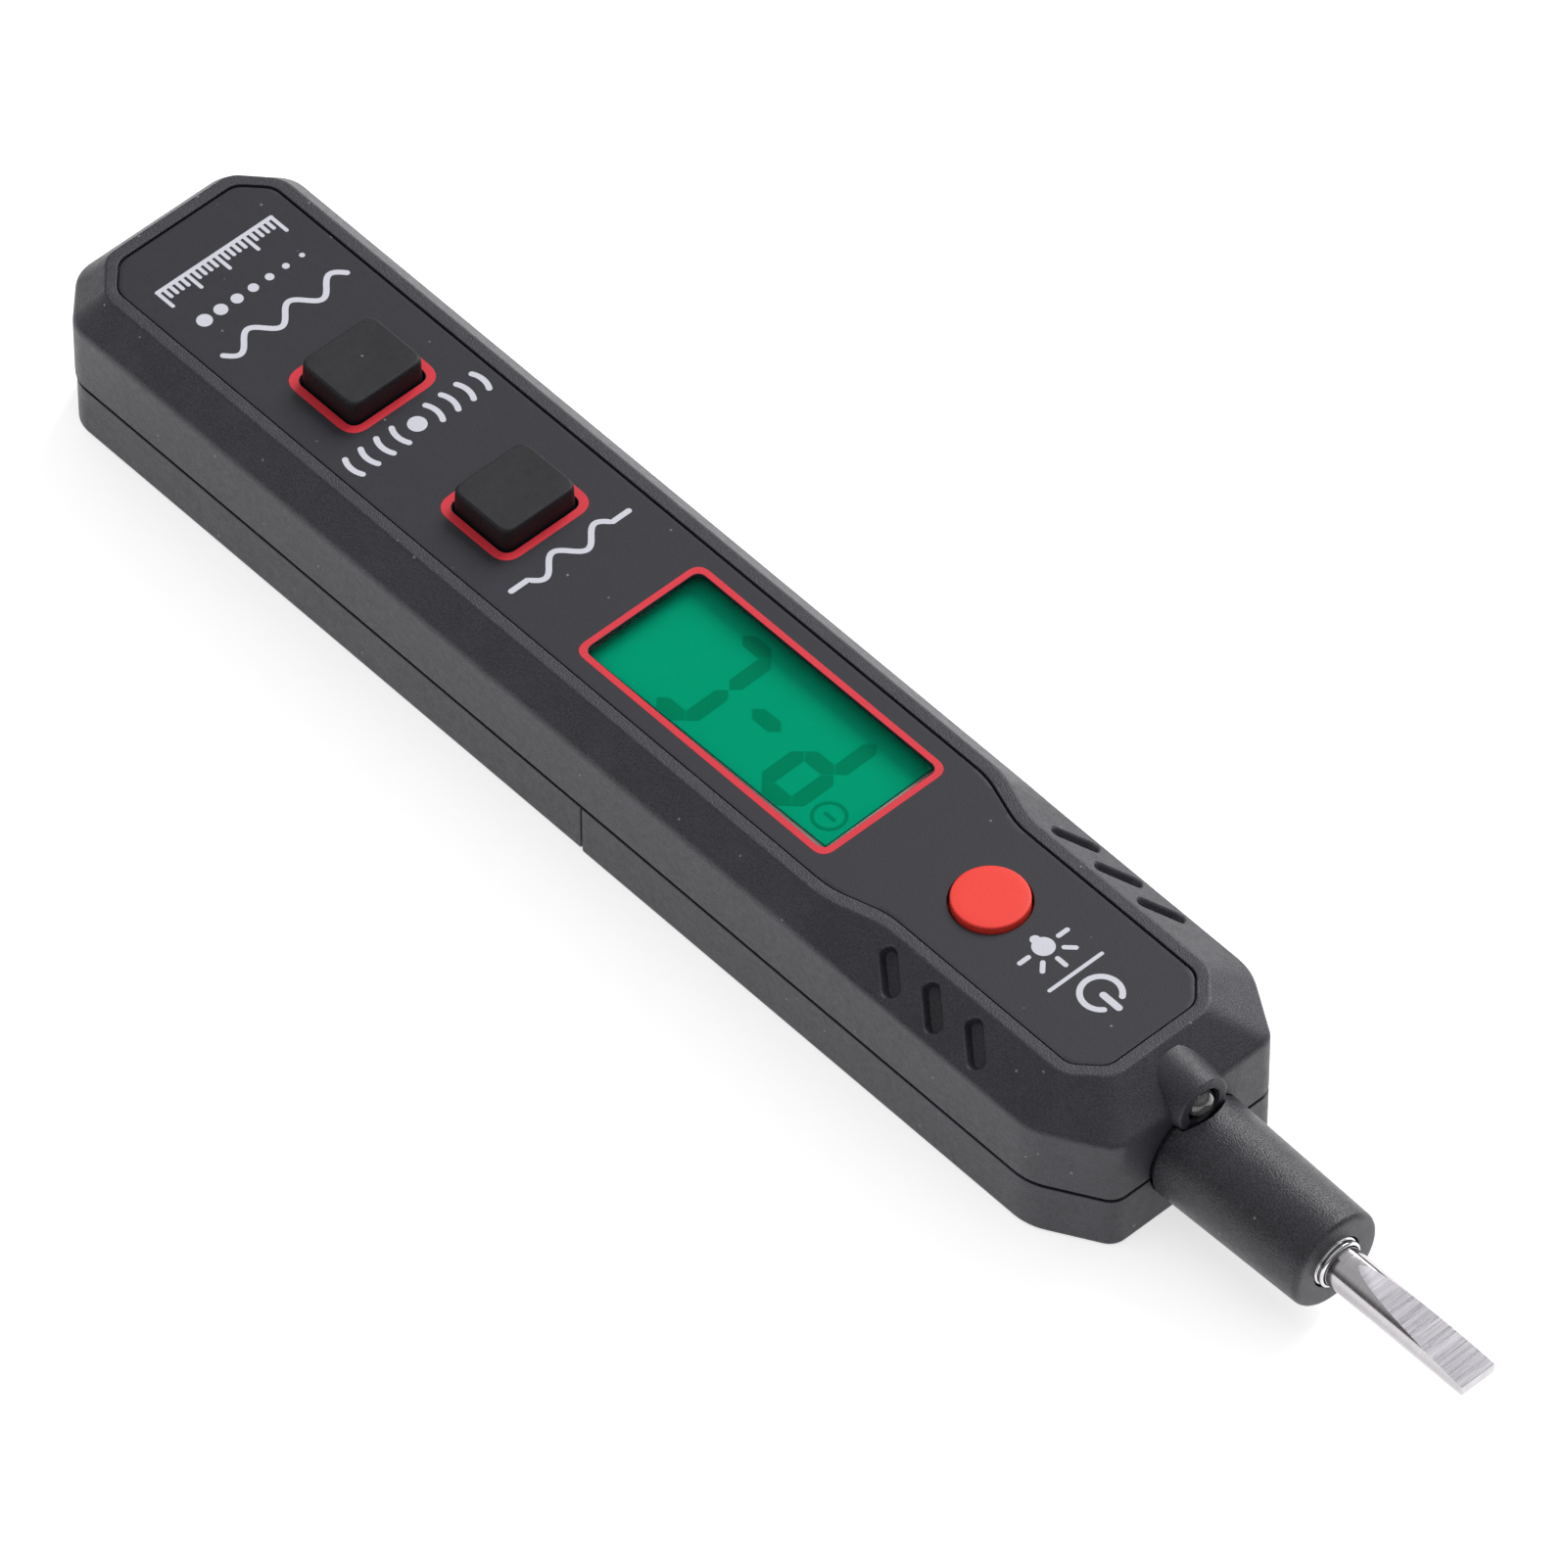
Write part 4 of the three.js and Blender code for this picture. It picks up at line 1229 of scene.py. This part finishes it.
def cell(name, hand):
    """A small round cell: a printed sleeve between bright ends, its button towards hand * X."""
    low, high = node_box(name)
    y, z = (low.y + high.y) / 2, (low.z + high.z) / 2
    radius = (high.z - low.z) / 2
    flat, length = (low.x if hand > 0 else high.x), high.x - low.x
    spin = Matrix.Translation((flat, y, z)) @ Matrix.Diagonal((hand, 1, 1, 1))
    can = [
        (0, radius - 2.2, 0),
        (0, radius - 0.6, 0.15),
        (0.15, radius - 0.35, 0.1),
        (0.5, radius - 0.05, 0.1),
        (length - 1.5, radius - 0.05, 0.2),
        (length - 1.1, radius - 0.7, 0.2),
        (length - 1, 2.1, 0.15),
        (length - 0.95, 1.9, 0.05),
        (length, 1.85, 0.3),
        (length, 0.4, 0),
    ]
    sleeve = [
        (0.25, radius - 0.9, 0),
        (0.25, radius, 0.15),
        (length - 1.35, radius, 0.2),
        (length - 1.2, radius - 0.9, 0.1),
    ]
    ends = mesh_object(f"{name}_can", moved(turned(can, z=0, steps=64), spin))
    piece(ends, "casing", FINISHES["tin"])
    label = mesh_object(f"{name}_sleeve", moved(turned(sleeve, z=0, steps=64), spin))
    piece(label, "casing", FINISHES["cell"], [name])


for screw_name in [f"{kind}_screw_{i}" for kind in ("tray", "shell") for i in (1, 2, 3)]:
    screw(screw_name)
cell("battery_right", 1)
cell("battery_left", -1)

# ---------------------------------------------------------------- the rest of the packed nodes

SLOT_OF = {row["node"]: row["material_slot"] for row in frame["record"]["subparts"]}
for node_name, node in frame["nodes"].items():
    node.data.materials.clear()
    node.data.materials.append(FINISHES[SLOT_OF[node_name]])

# ---------------------------------------------------------------- floor, light and camera


SKY_LIGHT = (0.15, 0.6)  # at the horizon and overhead
FLOOR_GLOW = 0.62
KEY_LIGHT = SimpleNamespace(position=(-0.3, 1.45, 1.1), size=(1, 1), power=26)
CAMERA = SimpleNamespace(at=(0.6969, -0.6401, 1.1319), back=(0.4755, -0.43576, 0.76421), lens=371.8)


def area_light(name, position, size, power):
    data = bpy.data.lights.new(name, "AREA")
    data.shape = "RECTANGLE"
    data.size, data.size_y = size
    data.energy = power
    lamp_object = bpy.data.objects.new(name, data)
    lamp_object.location = position
    lamp_object.rotation_euler = (-Vector(position)).to_track_quat("-Z", "Y").to_euler()
    bpy.context.scene.collection.objects.link(lamp_object)


def floor_plane():
    """A pale floor that glows a little, as an evenly lit studio sweep does."""
    material, tree, shader = node_material("pale_floor")
    pale = mixed(tree, noise(tree, place(tree), 0.002, 2), (0.88, 0.88, 0.88), (0.9, 0.9, 0.9))
    tree.links.new(pale, shader.inputs["Base Color"])
    shader.inputs["Roughness"].default_value = 0.7
    shader.inputs["Emission Color"].default_value = (1, 1, 1, 1)
    shader.inputs["Emission Strength"].default_value = FLOOR_GLOW
    bpy.ops.mesh.primitive_plane_add(size=8, location=(0, 0, -0.00005))
    plane = bpy.context.object
    plane.name = "floor"
    plane.data.materials.append(material)


def world():
    """An even tent of light, darker towards the horizon."""
    sky = bpy.data.worlds.new("studio")
    sky.use_nodes = True
    tree = sky.node_tree
    way = tree.nodes.new("ShaderNodeTexCoord")
    split = tree.nodes.new("ShaderNodeSeparateXYZ")
    tree.links.new(way.outputs["Generated"], split.inputs["Vector"])
    strength = between(tree, split.outputs["Z"], *SKY_LIGHT, 0.25, 0.6)
    tree.links.new(strength, tree.nodes["Background"].inputs["Strength"])
    tree.nodes["Background"].inputs["Color"].default_value = (1, 1, 1, 1)
    bpy.context.scene.world = sky


def camera():
    data = bpy.data.cameras.new("camera")
    data.lens = CAMERA.lens
    data.sensor_width = 36
    data.clip_end = 50
    view = bpy.data.objects.new("camera", data)
    view.location = CAMERA.at
    view.rotation_euler = (-Vector(CAMERA.back)).to_track_quat("-Z", "Y").to_euler()
    bpy.context.scene.collection.objects.link(view)
    bpy.context.scene.camera = view


floor_plane()
world()
area_light("key", *vars(KEY_LIGHT).values())
camera()
bpy.context.scene.view_settings.view_transform = "Standard"
